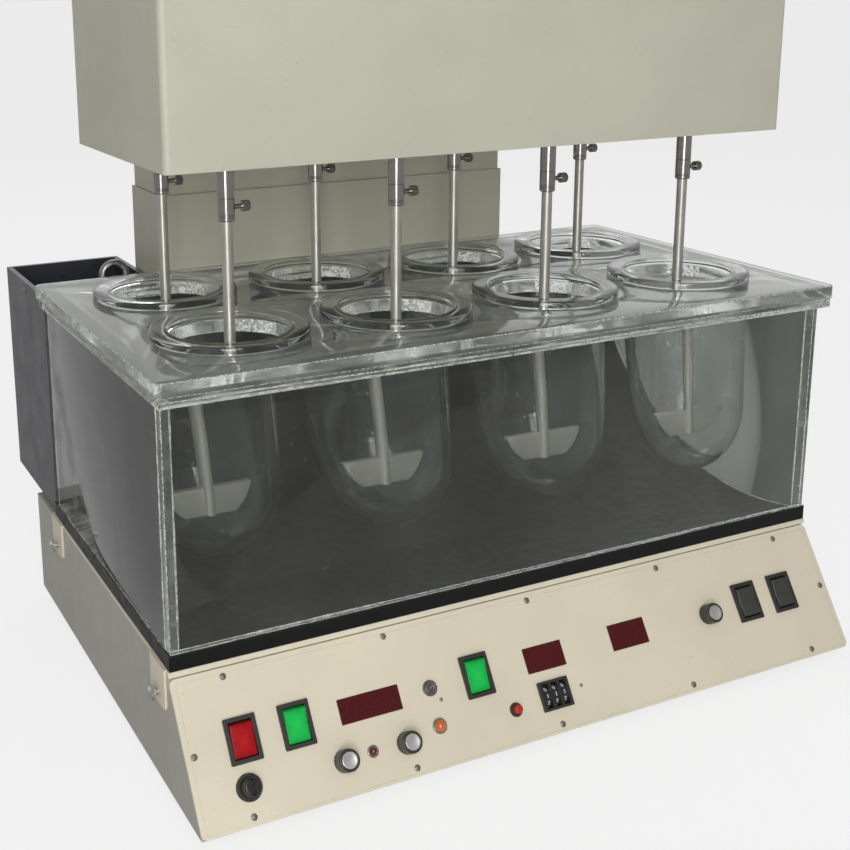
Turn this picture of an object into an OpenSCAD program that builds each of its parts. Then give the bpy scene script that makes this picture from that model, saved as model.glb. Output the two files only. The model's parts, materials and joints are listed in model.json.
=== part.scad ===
// Tablet dissolution tester: eight round bottom glass vessels hang in a clear water tank,
// eight paddles turn in them, and a motor lift raises the drive head that carries the paddles.
// Millimetres, +Z up, the front faces -Y, and the origin is at the middle of the footprint.

/* [Console] */
// Reach of the console past each side of the tank
console_side = 2.5; // [1.5:0.1:8]
// Height of the console from its underside to the seat of the deck
console_h = 104.5; // [98:0.5:115]
// Slope of the control panel above the horizontal
panel_angle = 56.5; // [50:0.5:62]
// Thickness of the control panel
panel_t = 3; // [2:0.5:4]
// Sheet thickness of the console and the column
sheet_t = 2; // [1.5:0.1:3]
// Width of the console's folded inner flanges
flange_w = 16; // [14:0.5:18]
// Height of the rubber feet
foot_h = 8; // [5:0.5:15]
// Diameter of the rubber feet
foot_d = 28; // [20:1:36]
// Distance of the feet from the console's edges
foot_inset = 42; // [35:1:70]

/* [Deck plate] */
// Sheet thickness of the deck plate
deck_t = 2.4; // [2:0.1:3]
// Height of the deck's folded front lip
lip_h = 4.9; // [4:0.1:7]
// Length of the four side tabs
tab_l = 35; // [30:1:45]
// Drop of the side tabs below the deck's seat
tab_drop = 33; // [28:1:45]
// Distance of the tabs' screws from the tabs' lower ends
tab_screw_up = 9; // [7:0.5:11]

/* [Tank] */
// Distance from the end vessels' axes to the tank's sides
tank_end = 92; // [84:0.5:100]
// Distance from the front row of vessels to the tank's front face
tank_front = 90.7; // [82:0.1:99]
// Distance from the rear row of vessels to the tank's rear face
tank_rear = 93.5; // [86:0.1:102]
// Height of the tank walls
tank_wall_h = 201.2; // [200:0.1:230]
// Thickness of the tank walls
tank_wall_t = 10; // [8:0.5:12]
// Thickness of the black floor plate
tank_floor_t = 13.4; // [10:0.1:16]
// Distance from the console's front foot back to the tank's front face
tank_setback = 67.2; // [66:0.1:80]
// Thickness of the clear rim bars under the lid
rim_t = 8.9; // [6:0.1:12]
// Inset of the rim bars from the edge of the lid
rim_inset = 3; // [2:0.5:5]

/* [Lid] */
// Thickness of the lid
lid_t = 12; // [10:0.5:15]
// Overhang of the lid at each side of the tank
lid_side = 7.5; // [6:0.5:10]
// Overhang of the lid in front of the tank
lid_front = 13.3; // [9:0.1:16]
// Overhang of the lid behind the tank
lid_rear = 5; // [3:0.5:7]
// Radius of the lid's corners
lid_corner_r = 8; // [4:0.5:14]

/* [Vessels] */
// Outside diameter of a vessel
vessel_d = 106; // [103:0.5:108]
// Thickness of the glass
glass_t = 2.5; // [2:0.1:3]
// Height of a vessel over its flange
vessel_h = 193; // [185:1:200]
// Diameter of the vessel's flange
flange_d = 133; // [126:0.5:138]
// Thickness of the vessel's flange
flange_t = 7.6; // [6:0.1:10]
// Clearance around a vessel in its hole in the lid
vessel_clear = 1; // [0.5:0.1:1.5]

/* [Paddles] */
// Length of the blade's top edge
blade_top = 74.5; // [74:0.1:75]
// Length of the blade's bottom edge
blade_bottom = 42; // [41:0.1:43]
// Height of the blade
blade_h = 19; // [18.5:0.1:19.5]
// Thickness of the blade
blade_t = 4; // [3:0.1:5]
// Diameter of the paddle shaft
shaft_d = 9.5; // [9.4:0.1:10.1]
// Gap between the blade and the bottom of the vessel
paddle_gap = 25; // [23:0.5:27]

/* [Drive head] */
// Distance between neighbouring spindles in a row
spindle_pitch = 155; // [145:0.5:165]
// Distance between the front row and the rear row
row_pitch = 160.5; // [148:0.5:175]
// Distance from the end spindles' axes to the head's sides
head_end = 67.5; // [58:0.5:75]
// Distance from the front row to the head's front face
head_front = 50; // [45:0.5:56]
// Distance from the rear row to the head's rear face
head_rear = 25.5; // [24.5:0.1:30]
// Height of the head
head_h = 210; // [200:1:240]
// Gap between the lid and the lowered head
head_gap = 141.6; // [130:0.1:160]
// Radius of the head's upright edges
head_corner_r = 5; // [3:0.5:9]
// Thickness of the head's bottom plate
head_plate_t = 4; // [3:0.5:6]
// Diameter of the upper spindles
spindle_d = 12; // [10:0.5:12.5]
// Outside diameter of the shaft chucks
chuck_d = 14; // [13.5:0.1:16]
// Length of a chuck below the head
chuck_l = 47.3; // [40:0.1:55]
// Radius of the belt pulleys
pulley_r = 17; // [15:0.5:17.5]
// Width of the toothed belt
belt_w = 20; // [15:1:24]

/* [Column and lift] */
// Gap between the column and the heater well beside it
column_side_gap = 2; // [1:0.5:6]
// Depth of the column
column_d = 87.5; // [82:0.5:95]
// Height of the fixed column above the console
column_h = 312.5; // [300:0.5:330]
// Gap between the tank and the column
column_gap = 9; // [7:0.5:12]
// Depth of the column's spine behind the console
spine_d = 26.9; // [20:0.1:32]
// Travel of the lift
lift_travel = 180; // [165:1:190]
// Diameter of the lift screw
screw_d = 16; // [12:1:20]

/* [Heater well] */
// Width of the well
well_w = 121.5; // [110:0.5:130]
// Depth of the well behind the tank
well_d = 159; // [140:1:180]
// Gap between the well's top and the lid
well_lid_gap = 0.6; // [0.3:0.1:3]
// Thickness of the well's walls
well_t = 5; // [4:0.5:6]
// Diameter of the heater tube
heater_d = 8; // [6:0.5:10]
// Distance between the two legs of the heater
heater_span = 24; // [20:1:30]

/* [Controls] */
// Height of the switches and displays up the panel's slope
upper_row = 63; // [60:0.5:66]
// Height of the knobs, the button and the lamps up the panel's slope
lower_row = 28; // [27:0.5:31]
// Distance from the panel's left end to the red switch
red_in = 47.5; // [44:0.5:52]
// Distance from the red switch to the first green switch
green_step = 45.5; // [42:0.5:50]
// Distance from the first green switch to the temperature display
display_step = 65.5; // [62:0.5:70]
// Distance from the temperature display to the sensor socket and the amber lamp
lamp_step = 55.5; // [52:0.5:60]
// Place of the second green switch, from the panel's middle
green_b_x = -67.6; // [-74:0.1:-64]
// Place of the timer display, from the panel's middle
display_b_x = 1; // [-2:0.5:4]
// Place of the speed display, from the panel's middle
display_c_x = 91; // [84:0.5:98]
// Distance from the third knob to the first black switch
knob_c_step = 48; // [44:0.5:52]
// Distance between the two black switches
black_step = 43.2; // [40:0.1:47]
// Distance from the second black switch to the panel's right end
black_in = 55; // [50:0.5:60]
// Distance from the panel's left end to the fuse holder
fuse_in = 44; // [40:0.5:48]
// Distance from the fuse holder to the first knob
knob_a_step = 81; // [74:0.5:88]
// Distance from the first knob to the red indicator
indicator_step = 26; // [23:0.5:28]
// Distance from the red indicator to the second knob
knob_b_step = 30.3; // [27:0.1:33]
// Place of the push button, from the panel's middle
button_x = -40; // [-44:0.5:-36]
// Width of a switch bezel beside its rocker
bezel_side = 3.75; // [3.4:0.05:4.5]
// Length of a switch bezel past each end of its opening
bezel_end = 3.4; // [3:0.1:4]
// Width of a rocker
rocker_w = 19; // [17:0.5:20]
// Radius of a rocker's ends about its pivot
rocker_r = 13.8; // [12:0.1:14]
// Swing of a latching rocker
rocker_swing = 16; // [10:1:18]
// Diameter of a knob
knob_d = 18; // [16:0.5:20]
// Height of a knob
knob_h = 12.5; // [9:0.5:13]
// Travel of the push button
button_travel = 2.5; // [1:0.5:3]
// Distance between neighbouring thumbwheels
wheel_pitch = 8.6; // [8:0.1:9.5]
// Radius of a thumbwheel
wheel_r = 9.5; // [8.5:0.1:10.5]

/* [Hidden] */
$fn = 64;

// Clearances
running_fit = 0.05;
slide_gap = 0.5;
seat_gap = 0.3;
glue_gap = 0.1;
// A cutter reaches this far past the face that it cuts
cut = 1;

// Widths, from the spindles out to the console
spindle_xs = [for (i = [0:3]) (i - 1.5) * spindle_pitch];
tank_w = 3 * spindle_pitch + 2 * tank_end;
console_w = tank_w + 2 * console_side;
head_w = 3 * spindle_pitch + 2 * head_end;
column_w = tank_w - 2 * (well_w + column_side_gap);

// Depths, from the front foot of the panel to the back of the well
tank_d = tank_front + row_pitch + tank_rear;
total_d = tank_setback + tank_d + well_d;
front_y = -total_d / 2;
tank_front_y = front_y + tank_setback;
tank_rear_y = tank_front_y + tank_d;
row_y = [tank_front_y + tank_front, tank_front_y + tank_front + row_pitch];
row_mid_y = (row_y[0] + row_y[1]) / 2;
head_front_y = row_y[0] - head_front;
head_rear_y = row_y[1] + head_rear;
head_d = head_rear_y - head_front_y;
column_front_y = tank_rear_y + column_gap;
column_rear_y = column_front_y + column_d;
console_rear_y = column_rear_y - spine_d;

// Heights
seat_z = foot_h + console_h;
deck_z = seat_z + deck_t;
tank_floor_z = deck_z + tank_floor_t;
rim_z = tank_floor_z + tank_wall_h;
lid_z = rim_z + rim_t;
lid_top_z = lid_z + lid_t;
vessel_top_z = lid_top_z + flange_t;
vessel_bottom_z = vessel_top_z - vessel_h;
blade_z = vessel_bottom_z + glass_t + paddle_gap;
head_z = lid_top_z + head_gap;
head_floor_z = head_z + head_plate_t;
head_top_z = head_z + head_h;
column_top_z = seat_z + column_h;

// Control panel
lip_gap = 1;
panel_foot_z = foot_h + panel_t * cos(panel_angle);
panel_l = (deck_z - lip_h - lip_gap - panel_foot_z) / sin(panel_angle);
panel_corner_r = 5;
panel_screw_r = 1.5;
panel_screw_head_r = 2.7;
panel_screw_head_h = 1.2;
panel_screw_edge = 7;
panel_screw_foot = 6.5;
panel_screw_pitch = 142;
screw_clear = 0.1;
knob_drop = 1;
third_knob_drop = 2;
display_sizes = [[55, 19.5], [39, 21], [39, 22]];
red_x = -console_w / 2 + red_in;
green_a_x = red_x + green_step;
display_a_x = green_a_x + display_step;
lamp_x = display_a_x + lamp_step;
black_b_x = console_w / 2 - black_in;
black_a_x = black_b_x - black_step;
knob_c_x = black_a_x - knob_c_step;
fuse_x = -console_w / 2 + fuse_in;
knob_a_x = fuse_x + knob_a_step;
indicator_x = knob_a_x + indicator_step;
knob_b_x = indicator_x + knob_b_step;
display_xs = [display_a_x, display_b_x, display_c_x];
window_fit = 0.15;
window_proud = 0.4;
window_flange = 2;
rocker_xs = [red_x, green_a_x, green_b_x, black_a_x, black_b_x];
knob_xs = [knob_a_x, knob_b_x, knob_c_x];

// Rocker switches: the pivot lies under the panel's face
bezel_t = 2;
rocker_clear = 0.3;
bezel_w = rocker_w + 2 * bezel_side;
bezel_l = 2 * (rocker_r + rocker_clear + bezel_end);
pivot_depth = 3;
pivot_r = 1.5;
pivot_reach = 1.4;
switch_barrel_d = 24;
barrel_margin = 1.5;
lit_crest = 5.3;
lit_angle = 4;
black_crest = 5;
black_angle = 13;

// Knob, button, thumbwheels, lamps and fuse holder
knob_shaft_r = 3;
pot_bush_r = 4.6;
pot_r = 8.5;
pot_d = 12;
knob_lift = 0.5;
button_r = 3.6;
button_bezel_r = 6;
button_h = 6.5;
button_reach = 8;
wheel_x = 0.6;
wheel_rise = 3.4;
wheel_row = lower_row + wheel_rise;
wheel_gap = 2;
wheel_w = wheel_pitch - wheel_gap;
wheel_proud = 2.8;
wheel_depth = wheel_r - wheel_proud;
wheel_block_side = 3.1;
wheel_block_end = 2.25;
wheel_slot_l = 2 * wheel_r + 1;
wheel_block_w = 2 * wheel_pitch + wheel_w + 2 * wheel_block_side;
wheel_block_l = wheel_slot_l + 2 * wheel_block_end;
wheel_block_t = 2.4;
wheel_axle_r = 1.5;
fuse_flange_r = 10.5;
fuse_cap_r = 8;
fuse_stem_r = 5;
lamp_ring_r = 6.5;
lamp_lens_r = 4.9;
lamp_ring_h = 1.6;
lamp_dome_h = 4.5;
indicator_r = 5;
indicator_ring_h = 0.8;
indicator_dome_h = 3;
lamp_rise = 4.5;
lamp_t = lower_row + lamp_rise;

// Power inlet at the console's rear
inlet_in = 75;
inlet_w = 28;
inlet_h = 20;
inlet_d = 20;
inlet_fit = 0.2;
inlet_ear = 10;
inlet_edge = 3;
inlet_flange_t = 2.5;
inlet_mouth_w = 24.5;
inlet_mouth_h = 16.6;
inlet_mouth_d = 16;
inlet_x = -console_w / 2 + inlet_in;
inlet_z = foot_h + console_h / 2;

// Deck tabs and their screws
tab_t = 2;
tab_front_inset = 3.7;
tab_rear_inset = 33;
tab_ys = [tank_front_y + tab_front_inset, tank_rear_y - tab_rear_inset];
tab_screw_z = seat_z - tab_drop + tab_screw_up;
tab_screw_r = 2.5;
deck_reach = 1.9;
deck_column_gap = 3;
deck_front_y = tank_front_y - deck_reach;
deck_rear_y = column_front_y - deck_column_gap;

// Tank and well openings for the circulating water
port_w = 70;
port_h = 16;
port_low_rise = 20;
port_high_drop = 40;
port_low_z = tank_floor_z + port_low_rise;
port_high_z = rim_z - port_high_drop;
well_rise = 2.9;
well_z = deck_z + well_rise;
well_h = lid_z - well_lid_gap - well_z;
well_left_x = -tank_w / 2;
well_mid_x = well_left_x + well_w / 2;
floor_over = 1.4;

// Drive train
belt_t = 3;
pulley_rise = 58;
pulley_z = head_floor_z + pulley_rise;
pulley_flange_t = 1.7;
motor_spindle = 1;
motor_r = 40;
motor_top_gap = 21;
bearing_r = 16;
bearing_flange_r = 20;
bearing_h = 30;
plate_hole_r = 9;
chuck_z = head_z - chuck_l;
chuck_solid_l = 11.3;
chuck_bore_l = chuck_l - chuck_solid_l;
thumbscrew_rise = 11;
thumbscrew_z = chuck_z + thumbscrew_rise;
thumbscrew_reach = 13;

// Column and carriage
neck_w = column_w - 2 * (sheet_t + slide_gap);
neck_d = column_d - 2 * (sheet_t + slide_gap);
neck_front_y = column_front_y + sheet_t + slide_gap;
neck_rear_y = neck_front_y + neck_d;
neck_t = 2;
gearbox_w = 66;
gearbox_d = 46;
gearbox_h = 40;
gearbox_setback = 32;
gearbox_y = column_front_y + gearbox_setback;
screw_seat = 12;
neck_clear = 12;
neck_z = seat_z + gearbox_h + neck_clear;
nut_t = 26;
bridge_rise = 20;
bridge_drop = 12;
bridge_z = head_z + bridge_rise;
bridge_top_z = head_top_z - bridge_drop;
beam_t = 5;
beam_x = spindle_pitch;
shelf_rise = 16;
shelf_z = pulley_z + belt_w + shelf_rise;
shelf_t = 5;
motor_h = head_top_z - sheet_t - motor_top_gap - shelf_z - shelf_t;
spine_rise = 4;
spine_z = foot_h + spine_rise;
screw_top_z = neck_z + lift_travel + 2 * nut_t;

// Shared forms

// A rectangle with round corners, centred
module rounded_rect(w, d, r) {
    square([w - 2 * r, d], center = true);
    square([w, d - 2 * r], center = true);
    for (sx = [-1, 1], sy = [-1, 1])
        translate([sx * (w / 2 - r), sy * (d / 2 - r)])
            circle(r);
}

// A box given by its low corner and its high corner
module span(low, high) {
    translate(low)
        cube(high - low);
}

// A frame on the panel: X across, Y up the slope, Z out of its face
module on_panel(x = 0, t = 0) {
    translate([0, front_y, panel_foot_z])
        rotate([panel_angle, 0, 0])
            translate([x, t, 0])
                children();
}

// Y of the panel's face, or of a plane behind it, at a height
function slope_y(z, depth) = front_y + (z - panel_foot_z) / tan(panel_angle) + depth / sin(panel_angle);

// The console's side outline, all faces moved in by one inset
module console_prism(width, inset) {
    rotate([90, 0, 90])
        linear_extrude(width, center = true)
            polygon([
                [slope_y(foot_h + inset, panel_t + inset), foot_h + inset],
                [console_rear_y - inset, foot_h + inset],
                [console_rear_y - inset, seat_z - inset],
                [slope_y(seat_z - inset, panel_t + inset), seat_z - inset]
            ]);
}

// Screw places on the panel
function panel_screw_places() = concat(
    [for (i = [-2:2]) [i * panel_screw_pitch, panel_screw_foot]],
    [for (i = [-2:2]) [i * panel_screw_pitch, panel_l - panel_screw_edge]],
    [for (s = [-1, 1]) [s * (console_w / 2 - panel_screw_edge), panel_l / 2]]);

module at_panel_screws() {
    for (p = panel_screw_places())
        on_panel(p[0], p[1])
            children();
}

module at_tab_screws() {
    for (s = [-1, 1], y = tab_ys)
        translate([s * console_w / 2, y + tab_l / 2, tab_screw_z])
            rotate([0, s * 90, 0])
                children();
}

module at_spindles() {
    for (x = spindle_xs, y = row_y)
        translate([x, y, 0])
            children();
}

// Console

module console_tub() {
    vent_w = 60;
    vent_h = 4;
    vent_pitch = 10;
    color([0.53, 0.53, 0.50])
        difference() {
            console_prism(console_w, 0);
            console_prism(console_w - 2 * sheet_t, sheet_t);
            on_panel(0, panel_l / 2)
                translate([0, 0, -panel_t - 2 * sheet_t])
                    linear_extrude(3 * sheet_t)
                        rounded_rect(console_w - 2 * flange_w, panel_l - 2 * flange_w, panel_corner_r);
            span([-console_w / 2 + flange_w, tank_front_y + 2 * flange_w, seat_z - 2 * sheet_t],
                 [console_w / 2 - flange_w, deck_rear_y - flange_w, seat_z + cut]);
            at_panel_screws()
                translate([0, 0, -panel_t - 2 * sheet_t])
                    cylinder(r = panel_screw_r + screw_clear, h = 3 * sheet_t);
            at_tab_screws()
                translate([0, 0, -2 * sheet_t])
                    cylinder(r = tab_screw_r + screw_clear, h = 3 * sheet_t);
            translate([-inlet_x, console_rear_y, inlet_z])
                rotate([90, 0, 0])
                    for (i = [-2:2])
                        translate([0, i * vent_pitch, 0])
                            linear_extrude(4 * sheet_t, center = true)
                                rounded_rect(vent_w, vent_h, vent_h / 2 - 0.1);
            inlet_cut();
        }
}

module rubber_feet() {
    bevel = 3;
    rear_y = console_rear_y - foot_inset;
    color([0.10, 0.10, 0.10])
        for (x = [-1, 1] * (console_w / 2 - foot_inset), y = [front_y + foot_inset, rear_y])
            translate([x, y, 0])
                rotate_extrude()
                    polygon([[0, 0], [foot_d / 2 - bevel, 0], [foot_d / 2, foot_h], [0, foot_h]]);
}

// Folded sheet with a round front lip and four side tabs
module deck_plate() {
    bend_r = deck_t - 0.2;
    color([0.83, 0.80, 0.73])
        difference() {
            union() {
                rotate([90, 0, 90])
                    linear_extrude(console_w, center = true) {
                        translate([deck_front_y + bend_r, seat_z])
                            square([deck_rear_y - deck_front_y - bend_r, deck_t]);
                        translate([deck_front_y, deck_z - lip_h])
                            square([deck_t, lip_h - bend_r]);
                        translate([deck_front_y + bend_r, deck_z - bend_r])
                            circle(bend_r);
                    }
                for (s = [-1, 1], y = tab_ys)
                    translate([s * (console_w + tab_t) / 2, y + tab_l / 2, 0])
                        rotate([0, 90, 0])
                            translate([-deck_z, 0, 0])
                                linear_extrude(tab_t, center = true)
                                    tab_outline();
            }
            at_tab_screws()
                translate([0, 0, -cut])
                    cylinder(r = tab_screw_r + screw_clear, h = tab_t + 2 * cut);
        }
}

// A tab hangs along +X from the deck's top, with its two lower corners rounded
module tab_outline() {
    corner_r = 4;
    reach = tab_drop + deck_t;
    translate([0, -tab_l / 2])
        square([reach - corner_r, tab_l]);
    translate([0, -tab_l / 2 + corner_r])
        square([reach, tab_l - 2 * corner_r]);
    for (s = [-1, 1])
        translate([reach - corner_r, s * (tab_l / 2 - corner_r)])
            circle(corner_r);
}

module control_panel() {
    color([0.80, 0.77, 0.69])
        difference() {
            on_panel(0, panel_l / 2)
                translate([0, 0, -panel_t])
                    linear_extrude(panel_t)
                        rounded_rect(console_w, panel_l, panel_corner_r);
            for (x = rocker_xs)
                panel_cut(x, upper_row)
                    square([bezel_w - 2 * barrel_margin, bezel_l - 2 * barrel_margin], center = true);
            for (i = [0:2])
                panel_cut(display_xs[i], upper_row)
                    square(display_sizes[i] + [2, 2] * window_fit, center = true);
            for (x = knob_xs)
                panel_cut(x, knob_t(x))
                    circle(pot_bush_r + screw_clear);
            panel_cut(wheel_x, wheel_row)
                square([wheel_block_w - 2 * barrel_margin, wheel_block_l - 2 * barrel_margin], center = true);
            panel_cut(button_x, lower_row)
                circle(button_bezel_r - barrel_margin + screw_clear);
            panel_cut(fuse_x, lower_row)
                circle(fuse_flange_r - barrel_margin + screw_clear);
            panel_cut(lamp_x, lamp_t)
                circle(lamp_lens_r + screw_clear);
            panel_cut(lamp_x, upper_row)
                circle(lamp_lens_r + screw_clear);
            panel_cut(indicator_x, lower_row)
                circle(indicator_r - barrel_margin + screw_clear);
            at_panel_screws()
                translate([0, 0, -2 * panel_t])
                    cylinder(r = panel_screw_r + screw_clear, h = 3 * panel_t);
        }
}

// The third knob sits higher than the other two
function knob_t(x) = x > 0 ? upper_row - third_knob_drop : lower_row - knob_drop;

module panel_cut(x, t) {
    on_panel(x, t)
        translate([0, 0, -2 * panel_t])
            linear_extrude(3 * panel_t)
                children();
}

module case_screws() {
    socket_dot = [7.5, -11];
    wheel_dot = [27.8, 1];
    dot_r = 1.6;
    dot_h = 0.8;
    well_screw_r = 3;
    well_screw_h = 1.5;
    well_screw_drop = 9;
    edge = 0.8;
    dot_places = [[lamp_x, upper_row] + socket_dot, [wheel_x, wheel_row] + wheel_dot];
    color([0.60, 0.60, 0.58]) {
        at_panel_screws() {
            cylinder(r1 = panel_screw_head_r, r2 = panel_screw_head_r - edge, h = panel_screw_head_h);
            translate([0, 0, -panel_t - 2 * sheet_t])
                cylinder(r = panel_screw_r, h = panel_t + 2 * sheet_t);
        }
        for (p = dot_places)
            on_panel(p[0], p[1])
                cylinder(r1 = dot_r, r2 = dot_r - edge / 2, h = dot_h);
        at_tab_screws()
            thumb_screw();
        translate([well_left_x, tank_rear_y + well_d / 2, well_z + well_h - well_screw_drop])
            rotate([0, -90, 0])
                cylinder(r1 = well_screw_r, r2 = well_screw_r - edge, h = well_screw_h);
    }
}

// A bright thumb screw with a round head, standing out of a deck tab
module thumb_screw() {
    neck_l = 3;
    head_r = 6;
    head_l = 6;
    rotate_extrude()
        union() {
            translate([0, -2 * sheet_t])
                square([tab_screw_r, 2 * sheet_t + tab_t]);
            translate([0, tab_t])
                square([head_r / 2, neck_l]);
            translate([0, tab_t + neck_l])
                square([head_r, head_l - 2]);
            intersection() {
                translate([0, tab_t + neck_l + head_l - 2 - head_r])
                    circle(sqrt(2) * head_r);
                translate([0, tab_t + neck_l])
                    square([head_r, head_l]);
            }
        }
}

module display_windows() {
    color([0.28, 0.06, 0.07])
        for (i = [0:2])
            on_panel(display_xs[i], upper_row) {
                translate([0, 0, -panel_t])
                    linear_extrude(panel_t + window_proud)
                        square(display_sizes[i], center = true);
                translate([0, 0, -panel_t - window_flange])
                    linear_extrude(window_flange)
                        square(display_sizes[i] + [2, 2] * window_flange, center = true);
            }
}

// Switch bodies: five bezels with their barrels, the thumbwheel block, the button's bush,
// the fuse holder and three potentiometers
module switch_bodies() {
    color([0.16, 0.16, 0.15]) {
        for (x = rocker_xs)
            on_panel(x, upper_row)
                rocker_bezel();
        on_panel(wheel_x, wheel_row)
            wheel_block();
        on_panel(button_x, lower_row)
            button_bush();
        on_panel(fuse_x, lower_row)
            fuse_holder();
        for (x = knob_xs)
            on_panel(x, knob_t(x))
                potentiometer();
    }
}

module rocker_bezel() {
    opening_l = 2 * (rocker_r + rocker_clear);
    opening_w = rocker_w + 2 * rocker_clear;
    barrel = [bezel_w, bezel_l] - [2, 2] * (barrel_margin + screw_clear);
    difference() {
        union() {
            linear_extrude(bezel_t)
                rounded_rect(bezel_w, bezel_l, 1);
            translate([0, 0, -switch_barrel_d])
                linear_extrude(switch_barrel_d)
                    square(barrel, center = true);
        }
        translate([0, 0, -switch_barrel_d + bezel_t])
            linear_extrude(switch_barrel_d + cut)
                square([opening_w, opening_l], center = true);
        translate([0, 0, -pivot_depth])
            rotate([0, 90, 0])
                cylinder(r = pivot_r + running_fit, h = opening_w + 2 * pivot_reach, center = true);
    }
}

module wheel_block() {
    body = [wheel_block_w, wheel_block_l] - [2, 2] * (barrel_margin + screw_clear);
    depth = wheel_depth + wheel_r + 4;
    difference() {
        union() {
            linear_extrude(wheel_block_t)
                rounded_rect(wheel_block_w, wheel_block_l, 0.8);
            translate([0, 0, -depth])
                linear_extrude(depth)
                    square(body, center = true);
        }
        for (i = [-1:1])
            translate([i * wheel_pitch, 0, -depth + 3])
                linear_extrude(depth + wheel_block_t)
                    square([wheel_w + 2 * rocker_clear, wheel_slot_l], center = true);
    }
    translate([0, 0, -wheel_depth])
        rotate([0, 90, 0])
            cylinder(r = wheel_axle_r, h = body[0] - 2, center = true);
}

module button_bush() {
    barrel_r = button_bezel_r - barrel_margin;
    barrel_l = button_reach + button_travel + 3;
    difference() {
        union() {
            cylinder(r1 = button_bezel_r, r2 = button_bezel_r - 0.6, h = 2);
            translate([0, 0, -barrel_l])
                cylinder(r = barrel_r, h = barrel_l);
        }
        translate([0, 0, -barrel_l + 2])
            cylinder(r = button_r + running_fit, h = barrel_l + cut);
    }
}

module fuse_holder() {
    barrel_l = 26;
    difference() {
        union() {
            cylinder(r = fuse_flange_r, h = 2);
            translate([0, 0, -barrel_l])
                cylinder(r = fuse_flange_r - barrel_margin, h = barrel_l);
        }
        translate([0, 0, -barrel_l + 3])
            cylinder(r = fuse_stem_r + running_fit, h = barrel_l);
    }
}

module potentiometer() {
    difference() {
        union() {
            translate([0, 0, -panel_t - pot_d])
                cylinder(r = pot_r, h = pot_d);
            translate([0, 0, -panel_t - cut])
                cylinder(r = pot_bush_r, h = panel_t + cut + 0.2);
        }
        translate([0, 0, -panel_t - pot_d + 2])
            cylinder(r = knob_shaft_r + running_fit, h = pot_d + panel_t);
    }
}

// The amber lamp and the red indicator, each a lens in a thin ring
module panel_lamps() {
    color([0.77, 0.42, 0.16]) {
        on_panel(lamp_x, lamp_t)
            lamp(lamp_ring_r, lamp_lens_r, lamp_ring_h, lamp_dome_h);
        on_panel(indicator_x, lower_row)
            lamp(indicator_r, indicator_r - barrel_margin, indicator_ring_h, indicator_dome_h);
    }
}

module lamp(ring_r, lens_r, ring_h, dome_h) {
    body_l = 14;
    sunk = 0.5;
    dome_r = (lens_r * lens_r + dome_h * dome_h) / (2 * dome_h);
    rotate_extrude()
        union() {
            translate([0, -body_l])
                square([lens_r, body_l + ring_h]);
            square([ring_r, ring_h]);
            intersection() {
                translate([0, ring_h + dome_h - dome_r])
                    circle(dome_r);
                translate([0, ring_h - sunk])
                    square([lens_r, dome_h + 2 * sunk]);
            }
        }
}

module inlet_cut() {
    translate([inlet_x, console_rear_y, inlet_z])
        rotate([90, 0, 0])
            linear_extrude(4 * sheet_t, center = true)
                square([inlet_w + 2 * inlet_fit, inlet_h + 2 * inlet_fit], center = true);
}

// The sensor socket on the panel and the three pin power inlet at the rear
module sockets() {
    color([0.45, 0.45, 0.45]) {
        on_panel(lamp_x, upper_row)
            sensor_socket();
        translate([inlet_x, console_rear_y, inlet_z])
            power_inlet();
    }
}

module sensor_socket() {
    collar_w = 1.4;
    collar_h = 4;
    barrel_l = 14;
    bore_r = 1.75;
    bore_l = 8;
    difference() {
        union() {
            cylinder(r = lamp_ring_r, h = lamp_ring_h);
            cylinder(r = lamp_ring_r - collar_w, h = collar_h);
            translate([0, 0, -barrel_l])
                cylinder(r = lamp_lens_r, h = barrel_l);
        }
        translate([0, 0, -bore_l])
            cylinder(r = bore_r, h = bore_l + collar_h + cut);
    }
}

// Its mouth faces +Y, with the live pins low and the earth pin high
module power_inlet() {
    flange_r = 4;
    pin_w = 2;
    pin_l = 12;
    pin_h = 4;
    pin_side = 7;
    pin_drop = 1;
    earth_rise = 3.4;
    floor_y = inlet_flange_t - inlet_mouth_d;
    difference() {
        union() {
            span([-inlet_w / 2, -inlet_d, -inlet_h / 2], [inlet_w / 2, 0, inlet_h / 2]);
            rotate([-90, 0, 0])
                linear_extrude(inlet_flange_t)
                    rounded_rect(inlet_w + 2 * inlet_ear, inlet_h + 2 * inlet_edge, flange_r);
        }
        span([-inlet_mouth_w / 2, floor_y, -inlet_mouth_h / 2],
             [inlet_mouth_w / 2, inlet_flange_t + cut, inlet_mouth_h / 2]);
    }
    for (p = [[-pin_side, -pin_drop], [0, earth_rise], [pin_side, -pin_drop]])
        translate([p[0] - pin_w / 2, floor_y, p[1]])
            cube([pin_w, pin_l, pin_h]);
}

// Tank

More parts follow.
